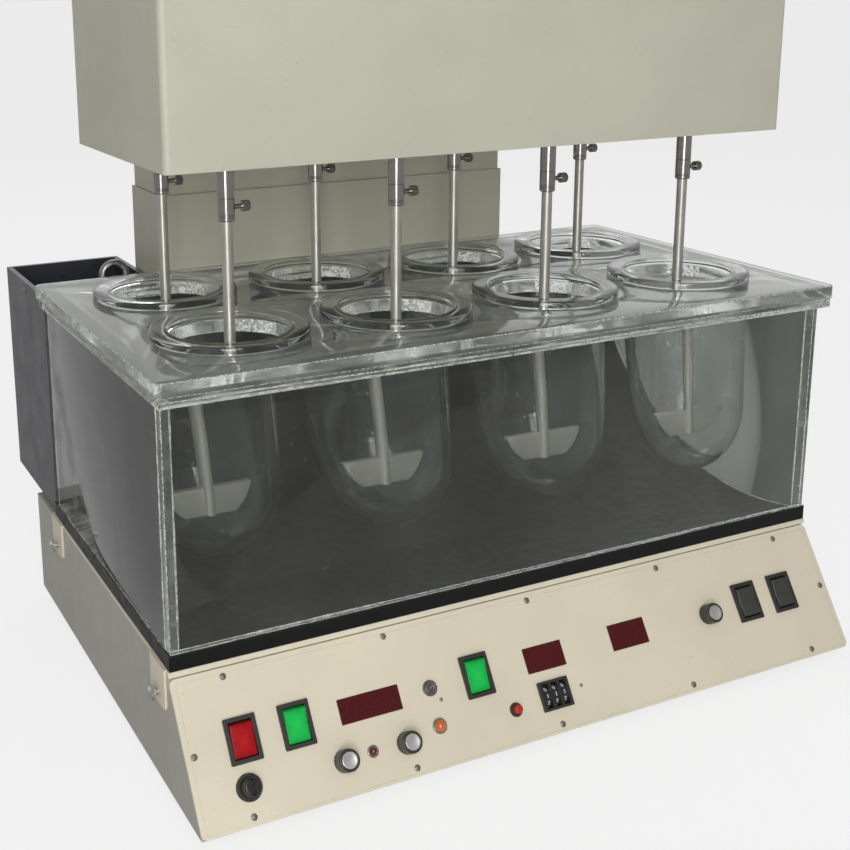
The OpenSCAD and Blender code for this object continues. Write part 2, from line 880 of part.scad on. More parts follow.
// Three clear panels and the four bars of the clear rim that carries the lid
module tank_walls() {
    inner_rear_y = tank_rear_y - tank_wall_t;
    inner_front_y = tank_front_y + tank_wall_t;
    rim_front_y = tank_front_y - lid_front + rim_inset;
    rim_w = tank_w + 2 * (lid_side - rim_inset);
    bar_w = tank_wall_t + lid_side - rim_inset;
    color([0.75, 0.78, 0.76, 0.35]) {
        span([-tank_w / 2, tank_front_y, tank_floor_z + glue_gap], [tank_w / 2, inner_front_y, rim_z]);
        for (s = [-1, 1])
            translate([s * (tank_w - tank_wall_t) / 2, 0, 0])
                span([-tank_wall_t / 2, inner_front_y + glue_gap, tank_floor_z + glue_gap],
                     [tank_wall_t / 2, inner_rear_y - glue_gap, rim_z]);
        for (y = [[rim_front_y, inner_front_y], [inner_rear_y, tank_rear_y]])
            span([-rim_w / 2, y[0], rim_z + glue_gap], [rim_w / 2, y[1], lid_z]);
        for (s = [-1, 1])
            translate([s * (rim_w - bar_w) / 2, 0, 0])
                span([-bar_w / 2, inner_front_y + glue_gap, rim_z + glue_gap],
                     [bar_w / 2, inner_rear_y - glue_gap, lid_z]);
    }
}

// The black floor plate and the black rear wall with its two water ports
module tank_black_panels() {
    side_x = tank_w / 2 + floor_over;
    color([0.10, 0.10, 0.10]) {
        span([-side_x, tank_front_y - floor_over, deck_z], [side_x, tank_rear_y, tank_floor_z]);
        difference() {
            span([-tank_w / 2, tank_rear_y - tank_wall_t, tank_floor_z + glue_gap],
                 [tank_w / 2, tank_rear_y, rim_z]);
            water_ports();
        }
    }
}

module water_ports() {
    for (z = [port_low_z, port_high_z])
        span([well_mid_x - port_w / 2, tank_rear_y - tank_wall_t - cut, z],
             [well_mid_x + port_w / 2, tank_rear_y + well_t + cut, z + port_h]);
}

module heater_well() {
    rear_y = tank_rear_y + well_d;
    color([0.13, 0.13, 0.13])
        difference() {
            span([well_left_x, tank_rear_y, well_z], [well_left_x + well_w, rear_y, well_z + well_h]);
            span([well_left_x + well_t, tank_rear_y + well_t, well_z + well_t],
                 [well_left_x + well_w - well_t, rear_y - well_t, well_z + well_h + cut]);
            water_ports();
        }
}

// A hairpin heater that stands on a terminal block on the well's floor
module heater_tube() {
    block_side = 12;
    block_d = 30;
    block_h = 24;
    bend_rise = 7;
    leg_side = 23;
    leg_front = 35;
    block_w = heater_span + 2 * block_side;
    bend_z = well_z + well_h + bend_rise;
    floor_z = well_z + well_t;
    leg_x = well_left_x + well_w - well_t - heater_span / 2 - leg_side;
    leg_y = tank_rear_y + leg_front;
    color([0.62, 0.62, 0.60])
        translate([leg_x, leg_y, 0]) {
            translate([-block_w / 2, -block_d / 2, floor_z])
                cube([block_w, block_d, block_h]);
            for (s = [-1, 1])
                translate([s * heater_span / 2, 0, floor_z + block_h])
                    cylinder(d = heater_d, h = bend_z - floor_z - block_h);
            translate([0, 0, bend_z])
                rotate([90, 0, 0])
                    rotate_extrude(angle = 180)
                        translate([heater_span / 2, 0])
                            circle(d = heater_d);
        }
}

// Column and lift

// The fixed column stands on the console, and its spine reaches down behind it
module column_shell() {
    low_y = console_rear_y + 0.2;
    color([0.62, 0.61, 0.55])
        difference() {
            union() {
                span([-column_w / 2, column_front_y, seat_z], [column_w / 2, column_rear_y, column_top_z]);
                span([-column_w / 2, low_y, spine_z], [column_w / 2, column_rear_y, seat_z + cut]);
            }
            span([-column_w / 2 + sheet_t, column_front_y + sheet_t, seat_z - cut],
                 [column_w / 2 - sheet_t, column_rear_y - sheet_t, column_top_z + cut]);
            span([-column_w / 2 + sheet_t, low_y + sheet_t, spine_z + sheet_t],
                 [column_w / 2 - sheet_t, column_rear_y - sheet_t, seat_z + cut]);
        }
}

// The gearbox and its motor lie on the console inside the column
module lift_gearbox() {
    motor_l = 90;
    motor_d = 40;
    boss_l = 6;
    boss_t = 6;
    color([0.35, 0.36, 0.38])
        difference() {
            union() {
                span([-gearbox_w / 2, gearbox_y - gearbox_d / 2, seat_z],
                     [gearbox_w / 2, gearbox_y + gearbox_d / 2, seat_z + gearbox_h - boss_l]);
                translate([0, gearbox_y, seat_z])
                    cylinder(r = screw_d / 2 + boss_t, h = gearbox_h);
                translate([gearbox_w / 2 - cut, gearbox_y, seat_z + motor_d / 2])
                    rotate([0, 90, 0])
                        cylinder(d = motor_d, h = motor_l);
            }
            translate([0, gearbox_y, seat_z + screw_seat])
                cylinder(r = screw_d / 2 + running_fit, h = gearbox_h);
        }
}

module lift_screw() {
    color([0.70, 0.70, 0.70])
        translate([0, gearbox_y, seat_z + screw_seat + seat_gap])
            cylinder(d = screw_d, h = screw_top_z - seat_z - screw_seat);
}

// The sliding neck, the lift nut, the bridge into the head and the frame inside it
module lift_carriage() {
    wall = neck_t;
    nut_wall = 9;
    frame_inset = 14;
    shelf_lap = 2;
    side_x = neck_w / 2;
    bridge_front_y = row_y[1] + bearing_r + slide_gap;
    frame_front_y = head_front_y + frame_inset;
    frame_rear_y = head_rear_y - 2 * sheet_t;
    color([0.62, 0.61, 0.55])
        difference() {
            union() {
                difference() {
                    span([-side_x, neck_front_y, neck_z], [side_x, neck_rear_y, bridge_top_z]);
                    span([-side_x + wall, neck_front_y + wall, neck_z + wall],
                         [side_x - wall, neck_rear_y - wall, bridge_top_z - wall]);
                }
                translate([0, gearbox_y, neck_z])
                    cylinder(r = screw_d / 2 + nut_wall, h = nut_t);
                difference() {
                    span([-side_x, bridge_front_y, bridge_z], [side_x, neck_front_y + wall, bridge_top_z]);
                    span([-side_x + wall, bridge_front_y - cut, bridge_z + wall],
                         [side_x - wall, neck_front_y, bridge_top_z - wall]);
                }
                for (s = [-1, 1])
                    translate([s * beam_x, 0, 0])
                        span([-beam_t / 2, frame_front_y, head_floor_z],
                             [beam_t / 2, frame_rear_y, shelf_z + cut]);
                span([-side_x, frame_front_y, shelf_z],
                     [side_x, bridge_front_y + shelf_lap, shelf_z + shelf_t]);
            }
            translate([0, gearbox_y, neck_z - cut])
                cylinder(r = screw_d / 2 + running_fit, h = nut_t + 2 * cut);
            belt_gate();
            translate([spindle_xs[motor_spindle], row_y[0], shelf_z - cut])
                cylinder(r = spindle_d, h = shelf_t + 2 * cut);
        }
}

// Where the belt passes through the frame's two side beams
module belt_gate() {
    gate = 3;
    for (y = [row_y[0] - pulley_r, row_y[1] + pulley_r])
        span([-neck_w / 2 - cut, y - gate - belt_t, pulley_z - gate],
             [neck_w / 2 + cut, y + gate + belt_t, pulley_z + belt_w + gate]);
}

// Head

module head_outline(inset) {
    translate([0, (head_front_y + head_rear_y) / 2])
        rounded_rect(head_w - 2 * inset, head_d - 2 * inset, head_corner_r - inset / 2);
}

module head_cover() {
    bridge_fit = 0.5;
    color([0.70, 0.69, 0.63])
        difference() {
            translate([0, 0, head_z])
                linear_extrude(head_h)
                    head_outline(0);
            translate([0, 0, head_z - cut])
                linear_extrude(head_h - sheet_t + cut)
                    head_outline(sheet_t);
            span([-neck_w / 2 - bridge_fit, head_rear_y - 2 * sheet_t, bridge_z - bridge_fit],
                 [neck_w / 2 + bridge_fit, head_rear_y + cut, bridge_top_z + bridge_fit]);
        }
}

module head_bottom_plate() {
    color([0.60, 0.60, 0.56])
        difference() {
            translate([0, 0, head_z])
                linear_extrude(head_plate_t)
                    head_outline(sheet_t + seat_gap);
            at_spindles()
                translate([0, 0, head_z - cut])
                    cylinder(r = plate_hole_r, h = head_plate_t + 2 * cut);
        }
}

module spindle_bearings() {
    color([0.55, 0.56, 0.58])
        at_spindles()
            translate([0, 0, head_floor_z])
                difference() {
                    union() {
                        cylinder(r = bearing_flange_r, h = 5);
                        cylinder(r = bearing_r, h = bearing_h);
                    }
                    translate([0, 0, -cut])
                        cylinder(r = spindle_d / 2 + running_fit, h = bearing_h + 2 * cut);
                }
}

// It stands on the frame's shelf, right above the spindle that it turns
module drive_motor() {
    socket_l = 16;
    base_h = 22;
    body_inset = 4;
    color([0.20, 0.21, 0.23])
        translate([spindle_xs[motor_spindle], row_y[0], shelf_z + shelf_t])
            difference() {
                union() {
                    translate([-motor_r, -motor_r, 0])
                        cube([2 * motor_r, 2 * motor_r, base_h]);
                    cylinder(r = motor_r - body_inset, h = motor_h);
                }
                translate([0, 0, -cut])
                    cylinder(r = spindle_d / 2 + running_fit, h = socket_l + cut);
            }
}

module belt_outline(reach) {
    w = spindle_xs[3] - spindle_xs[0] + 2 * reach;
    translate([0, row_mid_y])
        rounded_rect(w, row_pitch + 2 * reach, reach);
}

module drive_belt() {
    inner = pulley_r + seat_gap;
    color([0.08, 0.08, 0.08])
        translate([0, 0, pulley_z])
            linear_extrude(belt_w)
                difference() {
                    belt_outline(inner + belt_t);
                    belt_outline(inner);
                }
}

// Spindles

// The upper spindle with its belt pulley and the shaft chuck, and the chuck's thumb screw
module chuck(column, row) {
    driven = column == motor_spindle && row == 0;
    in_motor = 15;
    past_pulley = 8;
    pulley_side = 2;
    pulley_lip = 2.5;
    collar_drop = 3;
    screw_r = 2;
    top_z = driven ? shelf_z + shelf_t + in_motor : pulley_z + belt_w + past_pulley;
    collar_z = head_z - collar_drop;
    color([0.72, 0.72, 0.70])
        translate([spindle_xs[column], row_y[row], 0]) {
            difference() {
                rotate_extrude()
                    union() {
                        translate([0, chuck_z])
                            square([chuck_d / 2, collar_z - chuck_z]);
                        translate([0, collar_z])
                            square([spindle_d / 2, top_z - collar_z]);
                        translate([0, pulley_z - pulley_side])
                            square([pulley_r, belt_w + 2 * pulley_side]);
                        for (z = [pulley_z - pulley_flange_t - seat_gap, pulley_z + belt_w + seat_gap])
                            translate([0, z])
                                square([pulley_r + pulley_lip, pulley_flange_t]);
                    }
                translate([0, 0, chuck_z - cut])
                    cylinder(r = shaft_d / 2 + running_fit, h = chuck_bore_l + cut);
                translate([0, 0, thumbscrew_z])
                    rotate([0, 90, 0])
                        cylinder(r = screw_r + running_fit, h = chuck_d);
            }
            translate([0, 0, thumbscrew_z])
                rotate([0, 90, 0])
                    chuck_screw(screw_r);
        }
}

module chuck_screw(screw_r) {
    head_r = 4.5;
    head_l = 7;
    groove_r = 0.8;
    grooves = 12;
    tip = shaft_d / 2 + running_fit;
    end = chuck_d / 2 + thumbscrew_reach;
    translate([0, 0, tip])
        cylinder(r = screw_r, h = end - head_l - tip);
    translate([0, 0, end - head_l])
        difference() {
            cylinder(r = head_r, h = head_l);
            for (i = [0:grooves - 1])
                rotate([0, 0, i * 360 / grooves])
                    translate([head_r + groove_r / 2, 0, -cut])
                        cylinder(r = groove_r, h = head_l + 2 * cut, $fn = 16);
        }
}

// The blade is the part of a disc between two chords
module paddle(column, row) {
    chord_drop = (pow(blade_top / 2, 2) - pow(blade_bottom / 2, 2) - blade_h * blade_h) / (2 * blade_h);
    disc_r = sqrt(pow(blade_top / 2, 2) + chord_drop * chord_drop);
    color([0.66, 0.66, 0.64])
        translate([spindle_xs[column], row_y[row], blade_z]) {
            cylinder(d = shaft_d, h = chuck_z + chuck_bore_l - 1 - blade_z);
            intersection() {
                translate([0, 0, blade_h + chord_drop])
                    rotate([90, 0, 0])
                        cylinder(r = disc_r, h = blade_t, center = true, $fn = 96);
                span([-blade_top / 2, -blade_t / 2, 0], [blade_top / 2, blade_t / 2, blade_h]);
            }
        }
}

// Lid and vessels

module lid_plate() {
    low_y = tank_front_y - lid_front;
    high_y = tank_rear_y + lid_rear;
    color([0.72, 0.75, 0.72, 0.4])
        difference() {
            translate([0, (low_y + high_y) / 2, lid_z])
                linear_extrude(lid_t)
                    rounded_rect(tank_w + 2 * lid_side, high_y - low_y, lid_corner_r);
            at_spindles()
                translate([0, 0, lid_z - cut])
                    cylinder(r = vessel_d / 2 + vessel_clear, h = lid_t + 2 * cut, $fn = 96);
        }
}

// Half section of a vessel, with Y zero at the centre of its round bottom
module vessel_section() {
    outer_r = vessel_d / 2;
    inner_r = outer_r - glass_t;
    top = vessel_h - outer_r;
    edge_r = 2.6;
    difference() {
        union() {
            intersection() {
                circle(outer_r);
                translate([0, -outer_r])
                    square([outer_r, outer_r + 0.01]);
            }
            square([outer_r, top]);
            translate([0, top - flange_t])
                square([flange_d / 2 - edge_r, flange_t]);
            translate([0, top - flange_t + edge_r])
                square([flange_d / 2, flange_t - 2 * edge_r]);
            for (y = [top - edge_r, top - flange_t + edge_r])
                translate([flange_d / 2 - edge_r, y])
                    circle(edge_r);
        }
        intersection() {
            circle(inner_r);
            translate([0, -inner_r - cut])
                square([inner_r, inner_r + cut + 0.01]);
        }
        square([inner_r, top + cut]);
    }
}

module vessel(column, row) {
    color([0.85, 0.88, 0.87, 0.3])
        translate([spindle_xs[column], row_y[row], vessel_bottom_z + vessel_d / 2])
            rotate_extrude($fn = 96)
                vessel_section();
}

// Moving controls

// A rocker about its pivot: two faces that meet in a shallow valley, and two pivot pins
module rocker(crest, valley_angle) {
    underside = 5;
    rotate([90, 0, 90])
        linear_extrude(rocker_w, center = true)
            intersection() {
                circle(rocker_r);
                polygon([
                    [-rocker_r, -underside],
                    [rocker_r, -underside],
                    [rocker_r, crest + rocker_r * tan(valley_angle)],
                    [0, crest],
                    [-rocker_r, crest + rocker_r * tan(valley_angle)]
                ]);
            }
    rotate([0, 90, 0])
        cylinder(r = pivot_r, h = rocker_w + 2 * pivot_reach, center = true);
}

module lit_rocker(x, tone) {
    color(tone)
        on_panel(x, upper_row)
            translate([0, 0, -pivot_depth])
                rotate([rocker_swing / 2, 0, 0])
                    rocker(lit_crest, lit_angle);
}

module black_rocker(x) {
    color([0.24, 0.25, 0.23])
        on_panel(x, upper_row)
            translate([0, 0, -pivot_depth])
                rocker(black_crest, black_angle);
}

// A turned metal knob with a domed face, a fluted skirt and an index flat
module knob(x) {
    flute_r = 0.8;
    flutes = 24;
    edge = 1.6;
    color([0.75, 0.75, 0.74])
        on_panel(x, knob_t(x)) {
            difference() {
                translate([0, 0, knob_lift])
                    rotate_extrude()
                        polygon([
                            [0, 0], [knob_d / 2, 0], [knob_d / 2, knob_h - edge],
                            [knob_d / 2 - edge, knob_h], [2, knob_h], [0, knob_h - 0.6]
                        ]);
                for (i = [0:flutes - 1])
                    rotate([0, 0, i * 360 / flutes])
                        translate([knob_d / 2 + flute_r / 2, 0, knob_lift + 2])
                            cylinder(r = flute_r, h = knob_h - 2 - 2 * edge, $fn = 16);
            }
            translate([0, 0, -panel_t - pot_d + 3])
                cylinder(r = knob_shaft_r, h = panel_t + pot_d - 2);
        }
}

module push_button() {
    edge = 1;
    length = button_reach + button_h;
    color([0.72, 0.10, 0.10])
        on_panel(button_x, lower_row)
            translate([0, 0, -button_reach])
                rotate_extrude()
                    polygon([
                        [0, 0], [button_r, 0], [button_r, length - edge],
                        [button_r - edge, length], [0, length]
                    ]);
}

// A number wheel with a finger notch between its ten flats
module thumbwheel(i) {
    notches = 10;
    notch_r = 0.9;
    color([0.18, 0.19, 0.20])
        on_panel(wheel_x, wheel_row)
            translate([(i - 1) * wheel_pitch, 0, -wheel_depth])
                rotate([0, 90, 0])
                    difference() {
                        cylinder(r = wheel_r, h = wheel_w, center = true);
                        cylinder(r = wheel_axle_r + running_fit, h = wheel_w + cut, center = true);
                        for (k = [0:notches - 1])
                            rotate([0, 0, (k + 0.5) * 360 / notches])
                                translate([wheel_r + notch_r / 3, 0, 0])
                                    cylinder(r = notch_r, h = wheel_w + cut, center = true, $fn = 16);
                    }
}

module fuse_cap() {
    cap_h = 9;
    slot_w = 1.6;
    stem_l = 16;
    lift = 2 + seat_gap;
    color([0.12, 0.12, 0.12])
        on_panel(fuse_x, lower_row)
            difference() {
                union() {
                    translate([0, 0, lift])
                        cylinder(r1 = fuse_cap_r, r2 = fuse_cap_r - 1.4, h = cap_h);
                    translate([0, 0, -stem_l])
                        cylinder(r = fuse_stem_r, h = stem_l + lift + cut);
                }
                translate([-slot_w / 2, -fuse_cap_r, lift + cap_h - 2.5])
                    cube([slot_w, 2 * fuse_cap_r, 3]);
            }
}

console_tub();
rubber_feet();
deck_plate();
control_panel();
case_screws();
display_windows();
switch_bodies();
panel_lamps();
sockets();
tank_walls();
tank_black_panels();
heater_well();
heater_tube();
column_shell();
lift_gearbox();
lift_screw();
lift_carriage();
head_cover();
head_bottom_plate();
spindle_bearings();
drive_motor();
drive_belt();
for (i = [0:3]) chuck(i, 0);
for (i = [0:3]) chuck(i, 1);
for (i = [0:3]) paddle(i, 0);
for (i = [0:3]) paddle(i, 1);
lid_plate();
for (i = [0:3]) vessel(i, 0);
for (i = [0:3]) vessel(i, 1);
lit_rocker(red_x, [0.65, 0.08, 0.10]);  // red_rocker
lit_rocker(green_a_x, [0.12, 0.76, 0.34]);  // green_rocker_a
lit_rocker(green_b_x, [0.12, 0.76, 0.34]);  // green_rocker_b
black_rocker(black_a_x);  // black_rocker_a
black_rocker(black_b_x);  // black_rocker_b
knob(knob_a_x);  // knob_a
knob(knob_b_x);  // knob_b
knob(knob_c_x);  // knob_c
push_button();
for (i = [0:2]) thumbwheel(i);
fuse_cap();
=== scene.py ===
import json
import math
import random

import bmesh
import bpy
from bpy.props import FloatProperty, FloatVectorProperty, PointerProperty
from mathutils import Matrix, Vector


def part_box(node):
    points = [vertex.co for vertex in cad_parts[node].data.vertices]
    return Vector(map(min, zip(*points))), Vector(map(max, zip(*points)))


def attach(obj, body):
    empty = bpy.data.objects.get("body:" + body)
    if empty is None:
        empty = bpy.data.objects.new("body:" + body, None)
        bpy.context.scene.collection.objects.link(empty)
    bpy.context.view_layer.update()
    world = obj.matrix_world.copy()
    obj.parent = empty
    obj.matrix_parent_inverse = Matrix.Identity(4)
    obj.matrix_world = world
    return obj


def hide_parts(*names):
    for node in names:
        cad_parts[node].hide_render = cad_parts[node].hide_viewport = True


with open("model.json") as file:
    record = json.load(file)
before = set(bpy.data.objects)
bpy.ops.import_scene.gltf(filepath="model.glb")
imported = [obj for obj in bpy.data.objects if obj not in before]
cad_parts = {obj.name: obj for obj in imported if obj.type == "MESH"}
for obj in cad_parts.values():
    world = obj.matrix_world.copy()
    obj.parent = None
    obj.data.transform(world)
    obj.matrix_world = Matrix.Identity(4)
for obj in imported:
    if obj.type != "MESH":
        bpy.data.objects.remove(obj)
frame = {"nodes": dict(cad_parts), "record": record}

bl_info = {
    "name": "Dissolution Tester Looks",
    "version": (1, 0, 0),
    "blender": (4, 5, 0),
    "location": "3D View > Sidebar > Tester",
    "description": "Paint, glass, steel and controls of a tablet dissolution tester",
    "category": "Object",
}

# The CAD is drawn in millimetres and Blender works in metres
MM = 0.001

# The panel's slope and sheet thickness set its own frame: X across, Y up the slope, Z out
PANEL_ANGLE = math.radians(56.5)
PANEL_T = 3 * MM
PANEL_LOW, PANEL_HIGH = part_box("control_panel")
ON_PANEL = Matrix.Translation(
    (0, PANEL_LOW.y, PANEL_LOW.z + PANEL_T * math.cos(PANEL_ANGLE))
) @ Matrix.Rotation(PANEL_ANGLE, 4, "X")

# Glass and steel sizes that no box of the frame gives
VESSEL_R = 53 * MM
GLASS_T = 2.5 * MM
FLANGE_T = 7.6 * MM
SHAFT_R = 4.75 * MM
BLADE_T = 4 * MM
BLADE_H = 19 * MM
BLADE_TOP = 74.5 * MM
BLADE_BOTTOM = 42 * MM
CHUCK_R = 7 * MM
CHUCK_BORE = 36 * MM
SPINDLE_R = 6 * MM
HOLE_R = 54 * MM
LID_CORNER_R = 8 * MM
ROCKER_R = 13.8 * MM
ROCKER_W = 19 * MM
UPPER_ROW = 63 * MM
HEAD_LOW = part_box("head_cover")[0].z

# Edges that bend more than this are shaded crisp, and a prism's are rounded
SHARP = math.radians(32)

# Points closer together than this are one point
WELD = 0.001 * MM

# Turns an outline so that its own X runs up the slope, its Y out and its depth across
SIDEWAYS = Matrix(((0, 0, 1, 0), (1, 0, 0, 0), (0, 1, 0, 0), (0, 0, 0, 1)))

PLACES = [row + str(i) for row in "fr" for i in range(1, 5)]

# The vessels at the right end carry more dried drops
MISTY = ("f4", "r4", "r3")

# The body of each CAD node
BODY = {
    node: body
    for body, nodes in frame["record"]["behaviour"]["bodies"].items()
    for node in nodes
}


def shade(code):
    """Linear colour of an sRGB hex code."""
    parts = [int(code[i : i + 2], 16) / 255 for i in (0, 2, 4)]
    return tuple(p / 12.92 if p <= 0.04045 else ((p + 0.055) / 1.055) ** 2.4 for p in parts)


def toned(colour, share, lift=0.0):
    """A colour made darker or lighter by a share, and no lighter than white."""
    return tuple(min(1.0, c * share + lift) for c in colour)


# Places on the CAD


def corners(points):
    """Low and high corner of a set of points."""
    return (
        Vector([min(p[i] for p in points) for i in range(3)]),
        Vector([max(p[i] for p in points) for i in range(3)]),
    )


def solids(node):
    """Points of each separate solid in a CAD node."""
    bm = bmesh.new()
    bm.from_mesh(frame["nodes"][node].data)
    bmesh.ops.remove_doubles(bm, verts=bm.verts, dist=WELD)
    groups = []
    waiting = set(bm.verts)
    while waiting:
        reached = [waiting.pop()]
        group = []
        while reached:
            vert = reached.pop()
            group.append(vert.co.copy())
            for edge in vert.link_edges:
                other = edge.other_vert(vert)
                if other in waiting:
                    waiting.remove(other)
                    reached.append(other)
        groups.append(group)
    bm.free()
    return sorted(groups, key=lambda g: tuple(round(c, 5) for c in corners(g)[0]))


def on_panel_box(points):
    """Low and high corner of points in the panel's own frame."""
    back = ON_PANEL.inverted()
    return corners([back @ p for p in points])


def node_points(node):
    """Points of a CAD node."""
    return [v.co for v in frame["nodes"][node].data.vertices]


def set_on_panel(points):
    """Stands a shape on the panel, where a set of points has its middle."""
    low, high = on_panel_box(points)
    return ON_PANEL @ Matrix.Translation(((low.x + high.x) / 2, (low.y + high.y) / 2, 0))


def middle(node):
    """Middle of a CAD node's box."""
    low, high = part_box(node)
    return (low + high) / 2


def over(node):
    """Moves a shape turned about Z onto a CAD node's axis."""
    at = middle(node)
    return Matrix.Translation((at.x, at.y, 0))


# Mesh making


def closed_mesh(bm):
    """Turns a bmesh into a mesh that is smooth up to an angle."""
    bmesh.ops.recalc_face_normals(bm, faces=bm.faces)
    for face in bm.faces:
        face.smooth = True
    for edge in bm.edges:
        if edge.is_manifold and edge.calc_face_angle(0) > SHARP:
            edge.smooth = False
    mesh = bpy.data.meshes.new("mesh")
    bm.to_mesh(mesh)
    bm.free()
    return mesh


def arc(centre, radius, start, end, steps):
    """Points on an arc, in degrees."""
    turns = [math.radians(start + (end - start) * i / steps) for i in range(steps + 1)]
    x, y = centre
    return [(x + radius * math.cos(a), y + radius * math.sin(a)) for a in turns]


def in_mm(profile):
    """The points of a profile that is written in millimetres."""
    return [(r * MM, z * MM) for r, z in profile]


def turned(profile, steps=96, relief=None):
    """Turns (radius, height) points about Z. relief moves a point out and up."""
    bm = bmesh.new()
    rings = []
    for r, z in profile:
        if r < WELD:
            rings.append([bm.verts.new((0, 0, z))])
            continue
        ring = []
        for i in range(steps):
            a = math.tau * i / steps
            out, up = relief(a, r, z) if relief else (0, 0)
            at = ((r + out) * math.cos(a), (r + out) * math.sin(a), z + up)
            ring.append(bm.verts.new(at))
        rings.append(ring)
    for a, b in zip(rings, rings[1:]):
        for i in range(steps):
            j = (i + 1) % steps
            if len(a) == 1:
                bm.faces.new((a[0], b[j], b[i]))
            elif len(b) == 1:
                bm.faces.new((a[i], a[j], b[0]))
            else:
                bm.faces.new((a[i], a[j], b[j], b[i]))
    return bm


def fluted(count, depth, low, high):
    """Relief of grooves along Z between two heights."""

    def relief(a, r, z):
        if not low < z < high:
            return 0, 0
        return -depth * (0.5 + 0.5 * math.cos(count * a)) ** 3, 0

    return relief


def rounded(bm, edges, radius, segments=2):
    """A bmesh with some of its edges rounded."""
    bmesh.ops.bevel(bm, geom=edges, offset=radius, segments=segments, profile=0.5, affect="EDGES")
    return bm


def block(low, high, radius):
    """A box between two corners with rounded edges."""
    bm = bmesh.new()
    bmesh.ops.create_cube(bm, size=1)
    low, high = Vector(low), Vector(high)
    for v in bm.verts:
        v.co = Vector([low[i] + (v.co[i] + 0.5) * (high[i] - low[i]) for i in range(3)])
    return rounded(bm, bm.edges[:], radius)


def prism(outline, depth, radius, segments=2):
    """Pushes an outline in XY along Z, centred on zero, with rounded rims."""
    bm = bmesh.new()
    face = bm.faces.new([bm.verts.new((x, y, -depth / 2)) for x, y in outline])
    pushed = bmesh.ops.extrude_face_region(bm, geom=[face])
    for v in pushed["geom"]:
        if isinstance(v, bmesh.types.BMVert):
            v.co.z += depth
    bmesh.ops.recalc_face_normals(bm, faces=bm.faces)
    rims = [e for e in bm.edges if e.calc_face_angle(0) > SHARP]
    return rounded(bm, rims, radius, segments)


def circle(x, y, radius):
    """Points on a whole circle, clockwise."""
    steps = 128
    turns = [math.tau * i / steps for i in reversed(range(steps))]
    return [(x + radius * math.cos(a), y + radius * math.sin(a)) for a in turns]


def round_rect(low, high, radius):
    """Points on a rounded rectangle, anticlockwise."""
    places = (
        (high.x, high.y, -1, -1, 0),
        (low.x, high.y, 1, -1, 90),
        (low.x, low.y, 1, 1, 180),
        (high.x, low.y, -1, 1, 270),
    )
    return [
        p
        for x, y, sx, sy, start in places
        for p in arc((x + sx * radius, y + sy * radius), radius, start, start + 90, 8)
    ]


def placed(name, data):
    """A new object in the scene."""
    obj = bpy.data.objects.new(name, data)
    bpy.context.scene.collection.objects.link(obj)
    return obj


def curve_mesh(curve):
    """A closed bmesh of a curve or a text."""
    carrier = placed("outline", curve)
    bpy.context.view_layer.update()
    evaluated = carrier.evaluated_get(bpy.context.evaluated_depsgraph_get())
    mesh = bpy.data.meshes.new_from_object(evaluated)
    bpy.data.objects.remove(carrier)
    bpy.data.curves.remove(curve)
    bm = bmesh.new()
    bm.from_mesh(mesh)
    bpy.data.meshes.remove(mesh)
    bmesh.ops.remove_doubles(bm, verts=bm.verts, dist=WELD)
    return bm


def holed_plate(outlines, thickness, radius):
    """A plate with rounded rims, from its outline and its holes' in XY, centred on zero in Z."""
    curve = bpy.data.curves.new("outline", "CURVE")
    curve.dimensions = "2D"
    curve.fill_mode = "BOTH"
    curve.extrude = thickness / 2 - radius
    curve.bevel_depth = radius
    curve.bevel_resolution = 2
    curve.offset = -radius
    for outline in outlines:
        spline = curve.splines.new("POLY")
        spline.points.add(len(outline) - 1)
        spline.use_cyclic_u = True
        for point, (x, y) in zip(spline.points, outline):
            point.co = (x, y, 0, 1)
    return curve_mesh(curve)


def bead(start, end, radius, seed):
    """An uneven bead of glue along a line."""
    chance = random.Random(seed)
    start, end = Vector(start), Vector(end)
    along = (end - start).normalized()
    side = along.orthogonal().normalized()
    up = along.cross(side)
    sides = 8
    pitch = 4 * MM
    thinnest, widest, change, sway, tip = 0.35, 1.5, 0.3, 0.2, 0.1
    count = max(4, round((end - start).length / pitch))
    turns = [math.tau * k / sides for k in range(sides)]
    bm = bmesh.new()
    rings = []
    width = 1.0
    for i in range(count + 1):
        width = min(widest, max(thinnest, width + chance.uniform(-change, change)))
        r = radius * (tip if i in (0, count) else width)
        centre = start + (end - start) * i / count
        centre += (side * chance.uniform(-sway, sway) + up * chance.uniform(-sway, sway)) * radius
        around = [math.cos(a) * side + math.sin(a) * up for a in turns]
        rings.append([bm.verts.new(centre + r * way) for way in around])
    for a, b in zip(rings, rings[1:]):
        for k in range(sides):
            bm.faces.new((a[k], a[(k + 1) % sides], b[(k + 1) % sides], b[k]))
    bm.faces.new(rings[0][::-1])
    bm.faces.new(rings[-1])
    return bm


def joined(shapes):
    """One bmesh of several, each moved by its matrix."""
    whole = bmesh.new()
    for bm, at in shapes:
        bm.transform(at)
        mesh = bpy.data.meshes.new("part")
        bm.to_mesh(mesh)
        bm.free()
        whole.from_mesh(mesh)
        bpy.data.meshes.remove(mesh)
    return whole


def piece(name, shape, materials, node, at=None, stands_in=True):
    """Adds a visible piece that rides with a CAD node, and stands in for it."""
    mesh = shape if isinstance(shape, bpy.types.Mesh) else closed_mesh(shape)
    if not mesh.materials:
        mesh.name = name
        for material in materials:
            mesh.materials.append(material)
    obj = placed(name, mesh)
    if at is not None:
        obj.matrix_world = at
    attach(obj, BODY[node])
    if stands_in:
        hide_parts(node)
    return obj


def clear_piece(*details):
    """Adds a clear piece. It casts no shadow, so the lamps reach what is behind it."""
    piece(*details).visible_shadow = False


def dress(material, *nodes):
    """Gives CAD nodes their finish."""
    for node in nodes:
        mesh = frame["nodes"][node].data
        mesh.materials.clear()
        mesh.materials.append(material)


# Materials


